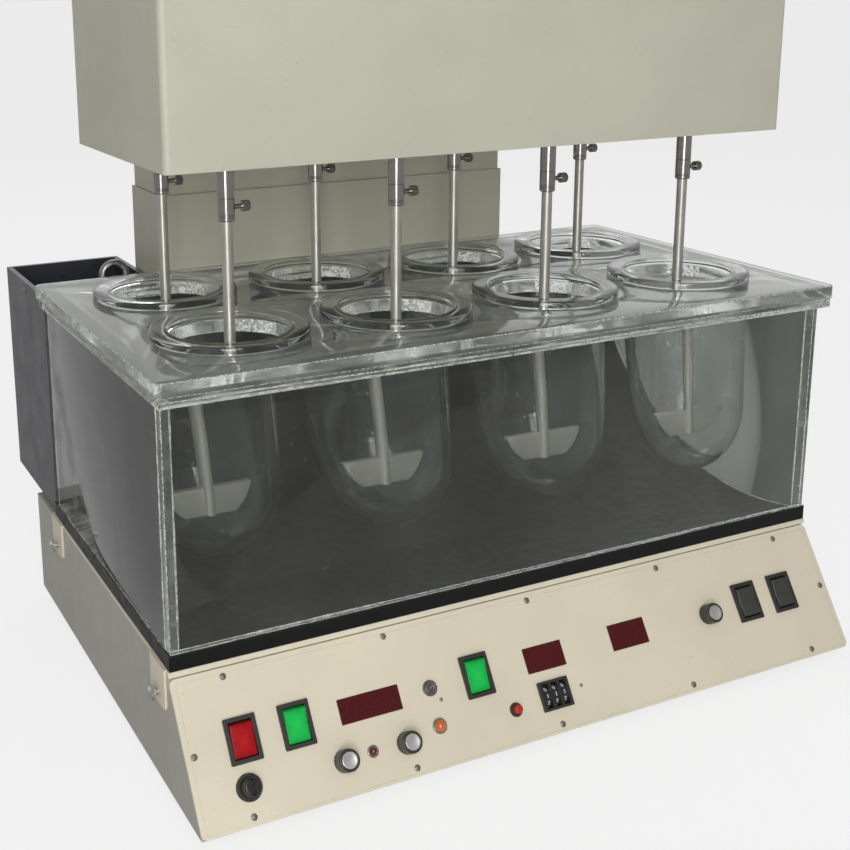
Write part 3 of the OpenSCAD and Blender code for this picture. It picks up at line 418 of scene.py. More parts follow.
def shader_node(tree, kind, inputs=(), **settings):
    """Adds a shader node to a tree, and fills or links its inputs."""
    made = tree.nodes.new("ShaderNode" + kind)
    for key, value in settings.items():
        setattr(made, key, value)
    for socket, value in dict(inputs).items():
        if isinstance(value, bpy.types.NodeSocket):
            tree.links.new(value, made.inputs[socket])
        else:
            made.inputs[socket].default_value = value
    return made


class Finish:
    """A material built from one Principled shader and noise fields in object space."""

    def __init__(self, name, colour, **constants):
        self.material = bpy.data.materials.new(name)
        self.material.use_nodes = True
        self.tree = self.material.node_tree
        self.tree.nodes.clear()
        self.output = self.tree.nodes.new("ShaderNodeOutputMaterial")
        self.shader = self.tree.nodes.new("ShaderNodeBsdfPrincipled")
        self.tree.links.new(self.shader.outputs[0], self.output.inputs["Surface"])
        self.colour = colour
        self.shader.inputs["Base Color"].default_value = (*colour, 1)
        for socket, value in constants.items():
            self.shader.inputs[socket.replace("_", " ")].default_value = value
        self.coords = self.tree.nodes.new("ShaderNodeTexCoord").outputs["Object"]
        self.normal = None

    def node(self, kind, inputs=(), **settings):
        """Adds a node to the material."""
        return shader_node(self.tree, kind, inputs, **settings)

    def stretched(self, scale):
        """Object coordinates, scaled along each axis."""
        return self.node("Mapping", {"Vector": self.coords, "Scale": scale}).outputs[0]

    def along(self, axis):
        """One object coordinate, in metres."""
        return self.node("SeparateXYZ", {"Vector": self.coords}).outputs[axis]

    def noise(self, size, detail=2.0, coords=None, distortion=0.0):
        """A noise field whose features are about this many metres across."""
        inputs = {"Vector": coords or self.coords, "Scale": 1 / size, "Detail": detail}
        return self.node("TexNoise", {**inputs, "Distortion": distortion}).outputs["Fac"]

    def ramp(self, value, low, high, to_low=0.0, to_high=1.0):
        """Maps a field between two values to another pair."""
        inputs = {"Value": value, "From Min": low, "From Max": high}
        return self.node("MapRange", {**inputs, "To Min": to_low, "To Max": to_high}).outputs[0]

    def math(self, operation, a, b=0.0):
        """One step of arithmetic on fields or numbers."""
        return self.node("Math", {0: a, 1: b}, operation=operation).outputs[0]

    def set(self, socket, field):
        """Lets a field drive one of the shader's sockets."""
        self.tree.links.new(field, self.shader.inputs[socket])

    def blend(self, factor, colour):
        """Mixes another colour over the base colour by a field."""
        base = self.shader.inputs["Base Color"]
        under = base.links[0].from_socket if base.is_linked else tuple(base.default_value)
        mix = self.node("Mix", {0: factor, 6: under, 7: (*colour, 1)}, data_type="RGBA")
        self.tree.links.new(mix.outputs[2], base)

    def clouds(self, size, spread):
        """Slow variation of the base colour, lighter and darker by a share."""
        field = self.noise(size, 3.0)
        self.blend(self.ramp(field, 0.5, 0.32), toned(self.colour, 1 - spread))
        self.blend(self.ramp(field, 0.5, 0.68), toned(self.colour, 1 + spread))

    def specks(self, size, colour, edge, share):
        """Small scattered spots of another colour, fewer with a higher edge."""
        self.blend(self.ramp(self.noise(size, 1.0), edge, edge + 0.05, 0, share), colour)

    def rough(self, size, low, high, coords=None):
        """Roughness that wanders between two values."""
        self.set("Roughness", self.ramp(self.noise(size, 3.0, coords), 0.3, 0.7, low, high))

    def round_edges(self, radius, wear_and_highlight=None, share=0.5):
        """Softens the shading of sharp edges, and can lay a lighter tone on them that is partly wear
        and partly a painted highlight.
        """
        bevel = self.node("Bevel", {"Radius": radius}, samples=4)
        self.normal = bevel.outputs[0]
        self.set("Normal", self.normal)
        if wear_and_highlight is not None:
            # The edge tone stands for wear and for a painted highlight on the rounded rims.
            flat = self.node("NewGeometry").outputs["Normal"]
            both = {0: self.normal, 1: flat}
            same = self.node("VectorMath", both, operation="DOT_PRODUCT").outputs["Value"]
            patchy = self.ramp(self.noise(0.012, 3.0), 0.35, 0.6)
            edge = self.ramp(same, 0.995, 0.90, 0, share)
            self.blend(self.math("MULTIPLY", edge, patchy), wear_and_highlight)

    def bumps(self, field, strength, height):
        """Adds a height field to the surface."""
        inputs = {"Height": field, "Strength": strength, "Distance": height}
        if self.normal is not None:
            inputs["Normal"] = self.normal
        self.normal = self.node("Bump", inputs).outputs[0]
        self.set("Normal", self.normal)


def sheet_paint(name, colour):
    """Sprayed enamel with orange peel, slow tone changes, small marks, and lighter edges that are
    partly wear and partly a painted highlight.
    """
    paint = Finish(name, colour, Coat_Weight=0.1, Coat_Roughness=0.3)
    paint.clouds(0.11, 0.045)
    paint.specks(0.004, toned(colour, 0.62), 0.735, 0.3)
    # Edges painted lighter: partly wear, partly a painted highlight on the rounded bends.
    paint.round_edges(0.0012, toned(colour, 1.25), 0.6)
    paint.rough(0.02, 0.42, 0.54)
    paint.bumps(paint.noise(0.0022, 2.0), 0.06, 0.0003)
    return paint


def panel_enamel(colour):
    """The ivory enamel, with a thin printed line set in from the panel's edges."""
    paint = sheet_paint("panel enamel", colour)
    set_in, line = 4.5 * MM, 0.35 * MM
    half_height = (PANEL_HIGH.z - PANEL_LOW.z) / 2
    mid_height = (PANEL_HIGH.z + PANEL_LOW.z) / 2
    across = paint.math("ABSOLUTE", paint.along(0))
    up = paint.math("ABSOLUTE", paint.math("SUBTRACT", paint.along(2), mid_height))
    from_side = paint.math("SUBTRACT", PANEL_HIGH.x, across)
    rise = paint.math("SUBTRACT", half_height, up)
    from_end = paint.math("DIVIDE", rise, math.sin(PANEL_ANGLE))
    nearest = paint.math("MINIMUM", from_side, from_end)
    off = paint.math("ABSOLUTE", paint.math("SUBTRACT", nearest, set_in))
    on_line = paint.ramp(off, line, line * 0.4)
    worn = paint.ramp(paint.noise(0.01, 2.0), 0.4, 0.6, 0.15, 0.5)
    paint.blend(paint.math("MULTIPLY", on_line, worn), toned(colour, 0.5))
    return paint.material


def plain_metal(name, code, low, high, stretch=(1, 1, 1), metal_share=1.0):
    """Machined metal. Its fine lines run along Z where stretch shrinks Z, and else across."""
    metal = Finish(name, shade(code), Metallic=metal_share)
    lines = metal.stretched(stretch)
    metal.clouds(0.03, 0.08)
    metal.round_edges(0.0004)
    metal.rough(0.006, low, high, lines)
    metal.bumps(metal.noise(0.0004, 1.0, lines), 0.1, 0.00003)
    return metal.material


def moulded(name, code, low=0.35, high=0.5, round_radius=0.0005, **constants):
    """Moulded plastic with a fine grain."""
    plastic = Finish(name, shade(code), **constants)
    plastic.clouds(0.01, 0.06)
    plastic.round_edges(round_radius)
    plastic.rough(0.004, low, high)
    plastic.bumps(plastic.noise(0.0006, 2.0), 0.08, 0.00005)
    return plastic.material


def lit_lens(name, colour, glow):
    """A translucent rocker lens that glows, with a painted glow lighter in its middle and painted shade
    at its rims.
    """
    lens = Finish(name, colour, Coat_Weight=0.05, Coat_Roughness=0.1, Specular_IOR_Level=0.2)
    lens.shader.inputs["Emission Color"].default_value = (*colour, 1)
    lens.shader.inputs["Emission Strength"].default_value = glow
    half_length = 13 * MM
    side = lens.math("DIVIDE", lens.math("ABSOLUTE", lens.along(2)), ROCKER_W / 2)
    end = lens.math("DIVIDE", lens.math("ABSOLUTE", lens.along(0)), half_length)
    out = lens.math("MAXIMUM", side, end)
    # Painted shade darkens the base colour towards the rims, and a painted glow lightens it in the
    # middle.
    lens.blend(lens.ramp(out, 0.62, 1.0, 0, 0.55), toned(colour, 0.35))
    lens.blend(lens.ramp(out, 0.5, 0.0, 0, 0.25), toned(colour, 1.6, 0.03))
    lens.rough(0.004, 0.22, 0.34)
    lens.bumps(lens.noise(0.0011, 1.0), 0.1, 0.0001)
    return lens.material


def clear_sheet(name, tint, haze, low, high, stretch=(1, 1, 1)):
    """Polished acrylic with scratches and a hazy film of dried drops."""
    clear = Finish(name, tint, IOR=1.49, Specular_IOR_Level=0.25)
    film = clear.ramp(clear.noise(0.09, 3.0, clear.stretched(stretch)), 0.35, 0.7, 0.5, 1.4)
    drops = clear.ramp(clear.noise(0.0035, 2.0), 0.72, 0.76, 0, 0.12)
    veil = clear.math("ADD", clear.math("MULTIPLY", film, haze), drops)
    clear.set("Transmission Weight", clear.math("SUBTRACT", 1.0, veil))
    clear.rough(0.03, low, high)
    scratches = clear.noise(0.004, 2.0, clear.stretched((1, 0.08, 1)), 1.5)
    clear.bumps(scratches, 0.01, 0.0002)
    return clear.material


def sawn_edge(name, tint, veil):
    """The flame polished edge of an acrylic sheet, with cloudy bands."""
    edge = Finish(name, tint, IOR=1.49, Specular_IOR_Level=0.3)
    bands = edge.noise(0.012, 3.0, edge.stretched((0.3, 0.3, 1)))
    edge.set("Transmission Weight", edge.ramp(bands, 0.35, 0.65, 1 - veil * 0.2, 1 - veil))
    edge.set("Roughness", edge.ramp(bands, 0.35, 0.65, 0.04, 0.3))
    edge.bumps(edge.noise(0.002, 2.0), 0.1, 0.0003)
    return edge.material


def chipped_rim():
    """The whitish rounded rim of an acrylic sheet, with bright chips."""
    rim = Finish("chipped rim", shade("D6D8D3"), IOR=1.49)
    chips = rim.noise(0.003, 3.0)
    rim.set("Transmission Weight", rim.ramp(chips, 0.45, 0.62, 0.75, 0.2))
    rim.set("Roughness", rim.ramp(chips, 0.4, 0.6, 0.12, 0.4))
    rim.bumps(chips, 0.3, 0.0006)
    return rim.material


def glue_line():
    """Dried solvent cement, whitish and full of bubbles."""
    glue = Finish("dried cement", shade("C9CBC4"), IOR=1.45)
    glue.set("Transmission Weight", glue.ramp(glue.noise(0.006, 3.0), 0.4, 0.65, 0.35, 0.9))
    glue.rough(0.003, 0.15, 0.45)
    glue.bumps(glue.noise(0.0012, 2.0), 0.4, 0.0006)
    return glue.material


def vessel_glass(name, edge, share):
    """Blown glass with a few ripples, and small drops dried on its outside."""
    glass = Finish(name, shade("F1F3F2"), IOR=1.47, Specular_IOR_Level=0.4)
    patch = glass.ramp(glass.noise(0.05, 2.0), edge - 0.1, edge + 0.08)
    drops = glass.ramp(glass.noise(0.0022, 2.0), edge, edge + 0.06, 0, share)
    fog = glass.math("ADD", glass.math("MULTIPLY", patch, drops), 0.002)
    glass.set("Transmission Weight", glass.math("SUBTRACT", 1.0, fog))
    glass.rough(0.01, 0.0, 0.04)
    glass.bumps(glass.noise(0.03, 1.0), 0.05, 0.0006)
    return glass.material


# Settings


def paint_setting(name, description, code):
    """A colour that a user can change."""
    tone = shade(code)
    return FloatVectorProperty(
        name=name, description=description, subtype="COLOR", size=3, min=0, max=1, default=tone
    )


def share_setting(name, description, share):
    """A share that a user can change, from none to all."""
    return FloatProperty(
        name=name, description=description, subtype="FACTOR", min=0, max=1, default=share
    )


class PaintLook(bpy.types.PropertyGroup):
    """Colours of the painted sheet metal."""

    head: paint_setting("Head and column", "Paint of the drive head and the column", "B4B3A2")
    console: paint_setting("Console", "Paint of the console's sides", "A3A298")
    panel: paint_setting(
        "Control panel", "Ivory enamel of the control panel and the deck plate", "D6CDB7"
    )


class ClearLook(bpy.types.PropertyGroup):
    """Tint and haze of the clear pieces."""

    acrylic: paint_setting("Acrylic", "Tint of the tank walls and the lid", "E4E7E3")
    front_haze: share_setting("Front haze", "Share of the front wall that scatters light", 0.01)
    side_haze: share_setting("Side haze", "Share of the side walls that scatters light", 0.14)
    lid_haze: share_setting("Lid haze", "Share of the lid that scatters light", 0.11)


class ControlLook(bpy.types.PropertyGroup):
    """Lit parts of the control panel."""

    red: paint_setting("Red lens", "Colour of the red rocker", "A01219")
    green: paint_setting("Green lens", "Colour of the green rockers", "18B24B")
    glow: share_setting("Glow", "How much light the rocker lenses give off", 0.06)


class StageLook(bpy.types.PropertyGroup):
    """Camera and lamps."""

    camera_at: FloatVectorProperty(
        name="Camera",
        description="Place of the camera",
        subtype="TRANSLATION",
        unit="LENGTH",
        size=3,
        default=(-0.60606, -1.08545, 0.62818),
    )
    lens: FloatProperty(
        name="Lens",
        description="Focal length for a 36 mm wide picture",
        subtype="DISTANCE_CAMERA",
        default=54.98,
        min=1,
    )
    lamp_watts: FloatProperty(
        name="Key lamp",
        description="Power of the main soft lamp",
        unit="POWER",
        default=22.5,
        min=0,
    )


# Shapes of the small pieces


def dome(radius, height, rim=0.35, steps=8):
    """Profile of a low domed head that stands on zero."""
    side = height * rim
    rise = height - side
    ball = (radius * radius + rise * rise) / (2 * rise)
    spread = math.degrees(math.asin(radius / ball))
    crown = arc((0, side + rise - ball), ball, 90 - spread, 90, steps)
    return [(0, 0), (radius, 0), (radius, side)] + crown[1:-1] + [(0, height)]


def cross_screw(radius, height):
    """A domed screw head with a cross recess."""
    rings = 12
    arm, depth = radius * 0.17, height * 0.6

    def recess(a, r, z):
        near = min(abs(r * math.sin(a)), abs(r * math.cos(a)))
        inside = z > height * 0.4 and r < radius * 0.72 and near < arm
        return 0, -depth if inside else 0

    profile = dome(radius, height, 0.3, rings)
    return turned(profile[:-1] + [(radius * 0.02, height), (0, height - depth)], 64, recess)


def thumb_screw():
    """A knurled screw head with a domed end, on a tab of the deck plate."""
    tab, neck, radius, top = 2, 5, 6, 10.9
    crown_r = 8.1
    profile = [(0, tab), (3, tab), (3, neck), (radius - 0.6, neck), (radius, neck + 0.6)]
    profile += [(radius, neck + i) for i in (0.8, 1.0, 3.0, 3.2, 3.6)]
    profile += arc((0, top - crown_r), crown_r, 45, 82, 8) + [(0, top)]
    knurls = fluted(36, 0.3 * MM, (neck + 0.7) * MM, (neck + 3.3) * MM)
    return turned(in_mm(profile), 144, knurls)


def rocker(radius, width, crest, valley):
    """A rocker about its pivot: two faces that meet in a valley, with rounded ends."""
    underside = -5 * MM
    tilt = math.tan(math.radians(valley))
    spread = (crest * tilt) ** 2 - (1 + tilt**2) * (crest**2 - radius**2)
    reach = (-crest * tilt + math.sqrt(spread)) / (1 + tilt**2)
    low = math.degrees(math.asin(underside / radius))
    high = math.degrees(math.atan2(crest + tilt * reach, reach))
    right = arc((0, 0), radius, low, high, 12)
    left = [(-x, y) for x, y in reversed(right)]
    return prism(right + [(0, crest)] + left, width, 0.9 * MM, 3)


def knob_body():
    """A fluted skirt with a raised rim around the face."""
    profile = [(0, 0.5), (8.6, 0.5), (9, 0.9), (9, 2.2), (9, 2.6), (9, 6), (9, 10), (8.9, 10.6)]
    profile += arc((7.7, 11.5), 1.1, 0, 90, 5) + [(6.9, 12.6), (6.6, 12.2), (0, 12.2)]
    return turned(in_mm(profile), 192, fluted(24, 0.55 * MM, 2.4 * MM, 10.3 * MM))


def knob_face():
    """The spun metal disc in the knob's face, dished towards its middle."""
    profile = [(0, 12.1), (6.5, 12.1), (6.5, 12.75), (6.3, 12.95), (5.6, 12.95)]
    profile += [(5.2 * i / 10, 12.45 + 0.42 * (i / 10) ** 2) for i in range(10, -1, -1)]
    return turned(in_mm(profile))


def fuse_cap():
    """A black screw cap with a coin slot and a ribbed side."""
    top, slot, slot_depth = 11.3, 0.9, 2.4
    profile = [(0, 2.3), (7.6, 2.3), (8, 2.8), (7.9, 3.4), (7.6, 5), (7.0, 8.6)]
    profile += arc((5.2, 9.6), 1.7, 0, 70, 5)
    profile += [(5 - i * 0.25, top) for i in range(20)] + [(0, top)]

    def relief(a, r, z):
        if z > (top - 0.3) * MM:
            return 0, -slot_depth * MM if abs(r * math.cos(a)) < slot * MM else 0
        return fluted(30, 0.3 * MM, 3 * MM, 8 * MM)(a, r, z)

    return turned(in_mm(profile), 180, relief)


def sensor_socket():
    """A knurled nut with a threaded collar and a dark bore."""
    profile = [(0, 0), (6.5, 0), (6.5, 0.3), (6.5, 1.3), (6.2, 1.6), (5.1, 1.6)]
    pitch, bore = 0.34, 1.75
    for i in range(6):
        z = 1.7 + i * pitch
        profile += [(5.1, z), (4.85, z + pitch / 2)]
    profile += [(5.05, 3.8), (4.8, 4), (3.2, 4), (2.9, 3.6), (1.9, 3.6)]
    profile += [(bore, 3.4), (bore, 0.6), (0, 0.6)]
    return turned(in_mm(profile), 144, fluted(36, 0.25 * MM, 0.2 * MM, 1.4 * MM))


def wheel_digits(radius):
    """The figures 0 to 9 round a thumbwheel, bent onto its rim."""
    height, raised, bolder = 5 * MM, 0.04 * MM, 0.11 * MM
    no_bend, no_area = 0.01, 1e-13
    shapes = []
    for figure in range(10):
        curve = bpy.data.curves.new("figure", "FONT")
        curve.body = str((figure + 1) % 10)
        curve.size = height
        curve.extrude = raised
        curve.offset = bolder
        curve.align_x = "CENTER"
        curve.align_y = "CENTER"
        bm = curve_mesh(curve)
        bmesh.ops.triangulate(bm, faces=bm.faces)
        flat = [
            edge
            for edge in bm.edges
            if edge.calc_face_angle(math.pi) < no_bend
            or min(face.calc_area() for face in edge.link_faces) < no_area
        ]
        bmesh.ops.beautify_fill(bm, faces=bm.faces, edges=flat, method="AREA")
        long_edges = [e for e in bm.edges if e.calc_length() > MM]
        bmesh.ops.subdivide_edges(bm, edges=long_edges, cuts=2)
        for v in bm.verts:
            turn = v.co.y / radius
            reach = radius + v.co.z
            v.co = Vector((v.co.x, reach * math.sin(turn), reach * math.cos(turn)))
        shapes.append((bm, Matrix.Rotation(figure * math.tau / 10, 4, "X")))
    return joined(shapes)


def chuck_body(low, top, pulley):
    """The chuck with its grooves and bore, the spindle above it and the belt pulley."""
    collar = HEAD_LOW - 3 * MM
    bore, chamfer = SHAFT_R + 0.07 * MM, 0.6 * MM
    profile = [(0, low + CHUCK_BORE), (bore, low + CHUCK_BORE), (bore, low + chamfer)]
    profile += [(5.3 * MM, low), (CHUCK_R - chamfer, low), (CHUCK_R, low + chamfer)]
    for groove in (3.2, 4.8, 18.5):
        for depth, offset in ((0, -0.35), (0.3, -0.2), (0.3, 0.2), (0, 0.35)):
            profile.append((CHUCK_R - depth * MM, low + (groove + offset) * MM))
    profile += [(CHUCK_R, collar - chamfer), (CHUCK_R - chamfer, collar), (SPINDLE_R, collar)]
    hub, flange, flange_t = 17 * MM, 19.5 * MM, 1.7
    for at, start, end in ((-2, SPINDLE_R, hub), (20.3, hub, SPINDLE_R)):
        under, over_it = pulley + at * MM, pulley + (at + flange_t) * MM
        profile += [(start, under), (flange, under), (flange, over_it), (end, over_it)]
    profile += [(SPINDLE_R, top - 0.5 * MM), (SPINDLE_R - 0.5 * MM, top), (0, top)]
    return turned(profile, 72)


def chuck_screw():
    """The knurled screw that clamps the paddle shaft, along Z from the chuck's axis."""
    profile = [(0, 6.2), (2, 6.2), (2, 13), (4.1, 13), (4.5, 13.4), (4.5, 13.6), (4.5, 14)]
    profile += [(4.5, 16.5), (4.5, 19), (4.5, 19.3), (4.1, 19.8), (2.6, 19.95), (2.2, 19.6), (0, 19.6)]
    return turned(in_mm(profile), relief=fluted(24, 0.45 * MM, 13.5 * MM, 19.4 * MM))


def blade():
    """The part of a disc between two chords, standing on its short edge."""
    half_top, half_bottom = BLADE_TOP / 2, BLADE_BOTTOM / 2
    drop = (half_top**2 - half_bottom**2 - BLADE_H**2) / (2 * BLADE_H)
    centre = BLADE_H + drop
    radius = math.hypot(half_top, drop)
    low = math.degrees(math.atan2(-centre, half_bottom))
    high = math.degrees(math.atan2(-drop, half_top))
    right = arc((0, centre), radius, low, high, 16)
    left = [(-x, y) for x, y in reversed(right)]
    return prism(right + left, BLADE_T, 0.7 * MM, 3)


def vessel_shape(low, top):
    """A round bottom vessel with a flange, a fillet under it and a rounded lip."""
    centre, inner, under = low + VESSEL_R, VESSEL_R - GLASS_T, top - FLANGE_T
    flange, edge, fillet, lip = 66.5 * MM, 2.6 * MM, 1.4 * MM, 1.6 * MM
    profile = arc((0, centre), VESSEL_R, -90, 0, 40)
    profile[0] = (0, low)
    profile += arc((VESSEL_R + fillet, under - fillet), fillet, 180, 90, 4)
    profile += arc((flange - edge, under + edge), edge, -90, 0, 6)
    profile += arc((flange - edge, top - edge), edge, 0, 90, 6)
    profile += [(inner + 6 * MM, top - 0.3 * MM)]
    profile += arc((inner + lip, top - 0.4 * MM - lip), lip, 90, 180, 5)
    bowl = arc((0, centre), inner, 0, -90, 40)
    bowl[-1] = (0, centre - inner)
    return turned(profile + bowl, 144)


def sort_faces(mesh, thin):
    """Marks a sheet's faces as polished (0), sawn (1) or rounded rim (2)."""
    square, tilted, slanted = 0.98, 0.15, 0.9
    for face in mesh.polygons:
        normal = [abs(c) for c in face.normal]
        if normal[thin] > square:
            face.material_index = 0
        else:
            face.material_index = 2 if normal[thin] > tilted or max(normal) < slanted else 1


# Pieces


class TesterConsole(bpy.types.Operator):
    """Paints the console, its panel and its deck plate, and sets their screws"""

    bl_idname = "tester.console"
    bl_label = "Console"

    def execute(self, context):
        look = context.scene.tester_paint
        dress(sheet_paint("console paint", tuple(look.console)).material, "console_tub")
        dress(panel_enamel(tuple(look.panel)), "control_panel")
        dress(sheet_paint("deck enamel", tuple(look.panel)).material, "deck_plate")
        rubber = Finish("foot rubber", shade("1C1C1B"))
        rubber.clouds(0.01, 0.2)
        rubber.rough(0.004, 0.6, 0.8)
        rubber.bumps(rubber.noise(0.001), 0.3, 0.0002)
        dress(rubber.material, "rubber_feet")
        self.screws()
        self.power_inlet()
        return {"FINISHED"}

    def screws(self):
        """Cross recessed screws on the panel, thumb screws on the tabs, and small studs."""
        dull = plain_metal("dull screw", "96978A", 0.5, 0.65)
        bright = plain_metal("bright screw", "C9C7C0", 0.15, 0.3)
        head = closed_mesh(cross_screw(2.7 * MM, 1.2 * MM))
        dot = closed_mesh(turned(dome(1.6 * MM, 0.8 * MM), 32))
        thumb = closed_mesh(thumb_screw())
        stud = closed_mesh(turned(dome(3 * MM, 1.5 * MM), 32))
        chance = random.Random(4)
        proud, screw_length, tab_length, thumb_length = 1.5 * MM, 2 * MM, 4 * MM, 11 * MM
        for i, points in enumerate(solids("case_screws")):
            low, high = corners(points)
            mid = (low + high) / 2
            slope_low, slope_high = on_panel_box(points)
            if 0 < slope_high.z < proud:
                shape, metal, at = dot, dull, set_on_panel(points)
                if slope_high.z - slope_low.z > screw_length:
                    shape = head
                    at = at @ Matrix.Rotation(chance.uniform(0, math.tau), 4, "Z")
            elif high.x - low.x > tab_length:
                shape, metal = thumb, bright
                side = math.copysign(1, mid.x)
                outer = high.x if side > 0 else low.x
                at = Matrix.Translation((outer - side * thumb_length, mid.y, mid.z))
                at = at @ Matrix.Rotation(side * math.pi / 2, 4, "Y")
            else:
                shape, metal = stud, dull
                at = Matrix.Translation((high.x, mid.y, mid.z))
                at = at @ Matrix.Rotation(-math.pi / 2, 4, "Y")
            piece(f"case_screw_{i + 1}", shape, [metal], "case_screws", at)

    def power_inlet(self):
        """The rear inlet: a flanged black shell, three flat pins and two screws."""
        shells = [g for g in solids("sockets") if corners(g)[1].y > 0]
        low, high = corners([p for g in shells for p in g])
        mid = (low + high) / 2
        black = moulded("inlet plastic", "1E1E1D")
        steel = plain_metal("inlet pin", "C9C2AE", 0.2, 0.35)
        flange_t, wall, corner_r, mouth_r = 2.5 * MM, 1.75 * MM, 4 * MM, 2 * MM
        screw_out, sunk = 19.5 * MM, 1.1 * MM
        depth = high.y - low.y
        at = Matrix.Translation((mid.x, high.y, mid.z)) @ Matrix.Rotation(-math.pi / 2, 4, "X")
        rim = Vector((high.x - mid.x, high.z - mid.z))
        half = Vector((14, 10)) * MM
        opening = half - Vector((wall, wall))
        outer = round_rect(-rim, rim, corner_r)
        mouth = round_rect(-opening, opening, mouth_r)
        body = round_rect(-half, half, mouth_r)
        flange = holed_plate([outer, mouth[::-1]], flange_t, 0.4 * MM)
        sleeve = holed_plate([body, mouth[::-1]], depth - flange_t, 0.2 * MM)
        floor = prism(body, flange_t, 0.2 * MM)
        shell = joined(
            [
                (flange, Matrix.Translation((0, 0, -flange_t / 2))),
                (sleeve, Matrix.Translation((0, 0, -(depth + flange_t) / 2))),
                (floor, Matrix.Translation((0, 0, -depth + flange_t / 2))),
            ]
        )
        piece("inlet_shell", shell, [black], "sockets", at)
        pin_low, pin_high = Vector((-1, -2, -16)) * MM, Vector((1, 2, -4)) * MM
        pins = joined(
            [
                (block(pin_low, pin_high, 0.4 * MM), Matrix.Translation((x * MM, y * MM, 0)))
                for x, y in ((-7, -1), (0, -5.4), (7, -1))
            ]
        )
        piece("inlet_pins", pins, [steel], "sockets", at)
        for side in (-1, 1):
            head = cross_screw(2.6 * MM, 1.2 * MM)
            place = at @ Matrix.Translation((side * screw_out, 0, -sunk))
            piece(f"inlet_screw_{side + 2}", head, [steel], "sockets", place)


class TesterControls(bpy.types.Operator):
    """Makes the switches, knobs, displays, lamps and number wheels"""

    bl_idname = "tester.controls"
    bl_label = "Controls"

    def execute(self, context):
        look = context.scene.tester_controls
        dress(moulded("switch body", "2E2D29"), "switch_bodies")
        window = moulded("display window", "4B1416", 0.2, 0.3, 0.0003, Specular_IOR_Level=0.25)
        dress(window, "display_windows")
        self.rockers(look)
        self.knobs()
        self.lamps()
        self.number_wheels()
        return {"FINISHED"}

    def rockers(self, look):
        """Five rockers about their pivots. The lit ones lie pressed and the black ones level."""
        # The height of a rocker's crest and the slope of its faces in degrees
        lit = (5.3 * MM, 4)
        plain = (5 * MM, 13)
        pivot = -3 * MM
        red = lit_lens("red lens", tuple(look.red), look.glow * 0.5)
        green = lit_lens("green lens", tuple(look.green), look.glow)
        black = moulded("rocker plastic", "3A3C37", 0.3, 0.42)
        for node, (crest, valley), material, swing in (
            ("red_rocker", lit, red, 8),
            ("green_rocker_a", lit, green, 8),
            ("green_rocker_b", lit, green, 8),
            ("black_rocker_a", plain, black, 0),
            ("black_rocker_b", plain, black, 0),
        ):
            at = ON_PANEL @ Matrix.Translation((middle(node).x, UPPER_ROW, pivot))
            at = at @ Matrix.Rotation(math.radians(swing), 4, "X") @ SIDEWAYS
            shape = rocker(ROCKER_R, ROCKER_W, crest, valley)
            piece(node + "_cap", shape, [material], node, at)

    def knobs(self):
        """Three knobs, the push button and the fuse cap."""
        skirt = moulded("knob skirt", "35342F", 0.22, 0.34)
        spun = plain_metal("spun aluminium", "F1F0EE", 0.28, 0.4)
        body, face = closed_mesh(knob_body()), closed_mesh(knob_face())
        for node in ("knob_a", "knob_b", "knob_c"):
            at = set_on_panel(node_points(node))
            piece(node + "_skirt", body, [skirt], node, at)
            piece(node + "_face", face, [spun], node, at)
        red = moulded("button red", "B32A22", 0.25, 0.35)
        profile = [(0, -8), (3.6, -8)] + arc((2.3, 5.2), 1.3, 0, 80, 5) + [(0, 6.5)]
        at = set_on_panel(node_points("push_button"))
        piece("push_button_cap", turned(in_mm(profile), 64), [red], "push_button", at)
        cap = moulded("fuse cap", "1F1E1E", 0.25, 0.4)
        piece("fuse_cap_head", fuse_cap(), [cap], "fuse_cap", set_on_panel(node_points("fuse_cap")))

    def lamps(self):
        """Two lamps in their rings, and the sensor socket."""
        chrome = plain_metal("lamp ring", "B9B7B0", 0.12, 0.25)
        # Radius of the ring and the lens, height of the ring, rise of the lens, and its colour
        for name, (ring_r, lens_r, ring_h, rise, code), points in zip(
            ("amber_lamp", "red_indicator"),
            ((6.5, 4.9, 1.6, 4.5, "C4662A"), (5, 3.5, 0.8, 3, "5E1C1C")),
            sorted(solids("panel_lamps"), key=lambda g: -on_panel_box(g)[1].z),
        ):
            at = set_on_panel(points)
            height = ring_h + rise
            ring = [(lens_r, 0), (ring_r, 0), (ring_r, ring_h * 0.6), (ring_r - 0.5, ring_h)]
            ring += [(lens_r, ring_h), (lens_r, 0)]
            piece(name + "_ring", turned(in_mm(ring), 64), [chrome], "panel_lamps", at)
            lens = moulded(name + " lens", code, 0.08, 0.16, Coat_Weight=0.6, Coat_Roughness=0.05)
            shape = turned(dome(lens_r * MM, height * MM, ring_h / height, 12), 64)
            piece(name + "_lens", shape, [lens], "panel_lamps", at)
        metal = plain_metal("socket metal", "8C8A86", 0.22, 0.38)
        socket = next(g for g in solids("sockets") if corners(g)[1].y < 0)
        piece("sensor_socket", sensor_socket(), [metal], "sockets", set_on_panel(socket))

    def number_wheels(self):
        """The figures of the three thumbwheels."""
        wheel = moulded("wheel plastic", "26282A", 0.3, 0.42)
        ink = moulded("figure ink", "D8D8D2", 0.5, 0.6)
        digits = closed_mesh(wheel_digits(9.5 * MM))
        for i in (1, 2, 3):
            node = f"thumbwheel_{i}"
            dress(wheel, node)
            low, high = on_panel_box(node_points(node))
            at = ON_PANEL @ Matrix.Translation((low + high) / 2)
            piece(f"figures_{i}", digits, [ink], node, at, stands_in=False)


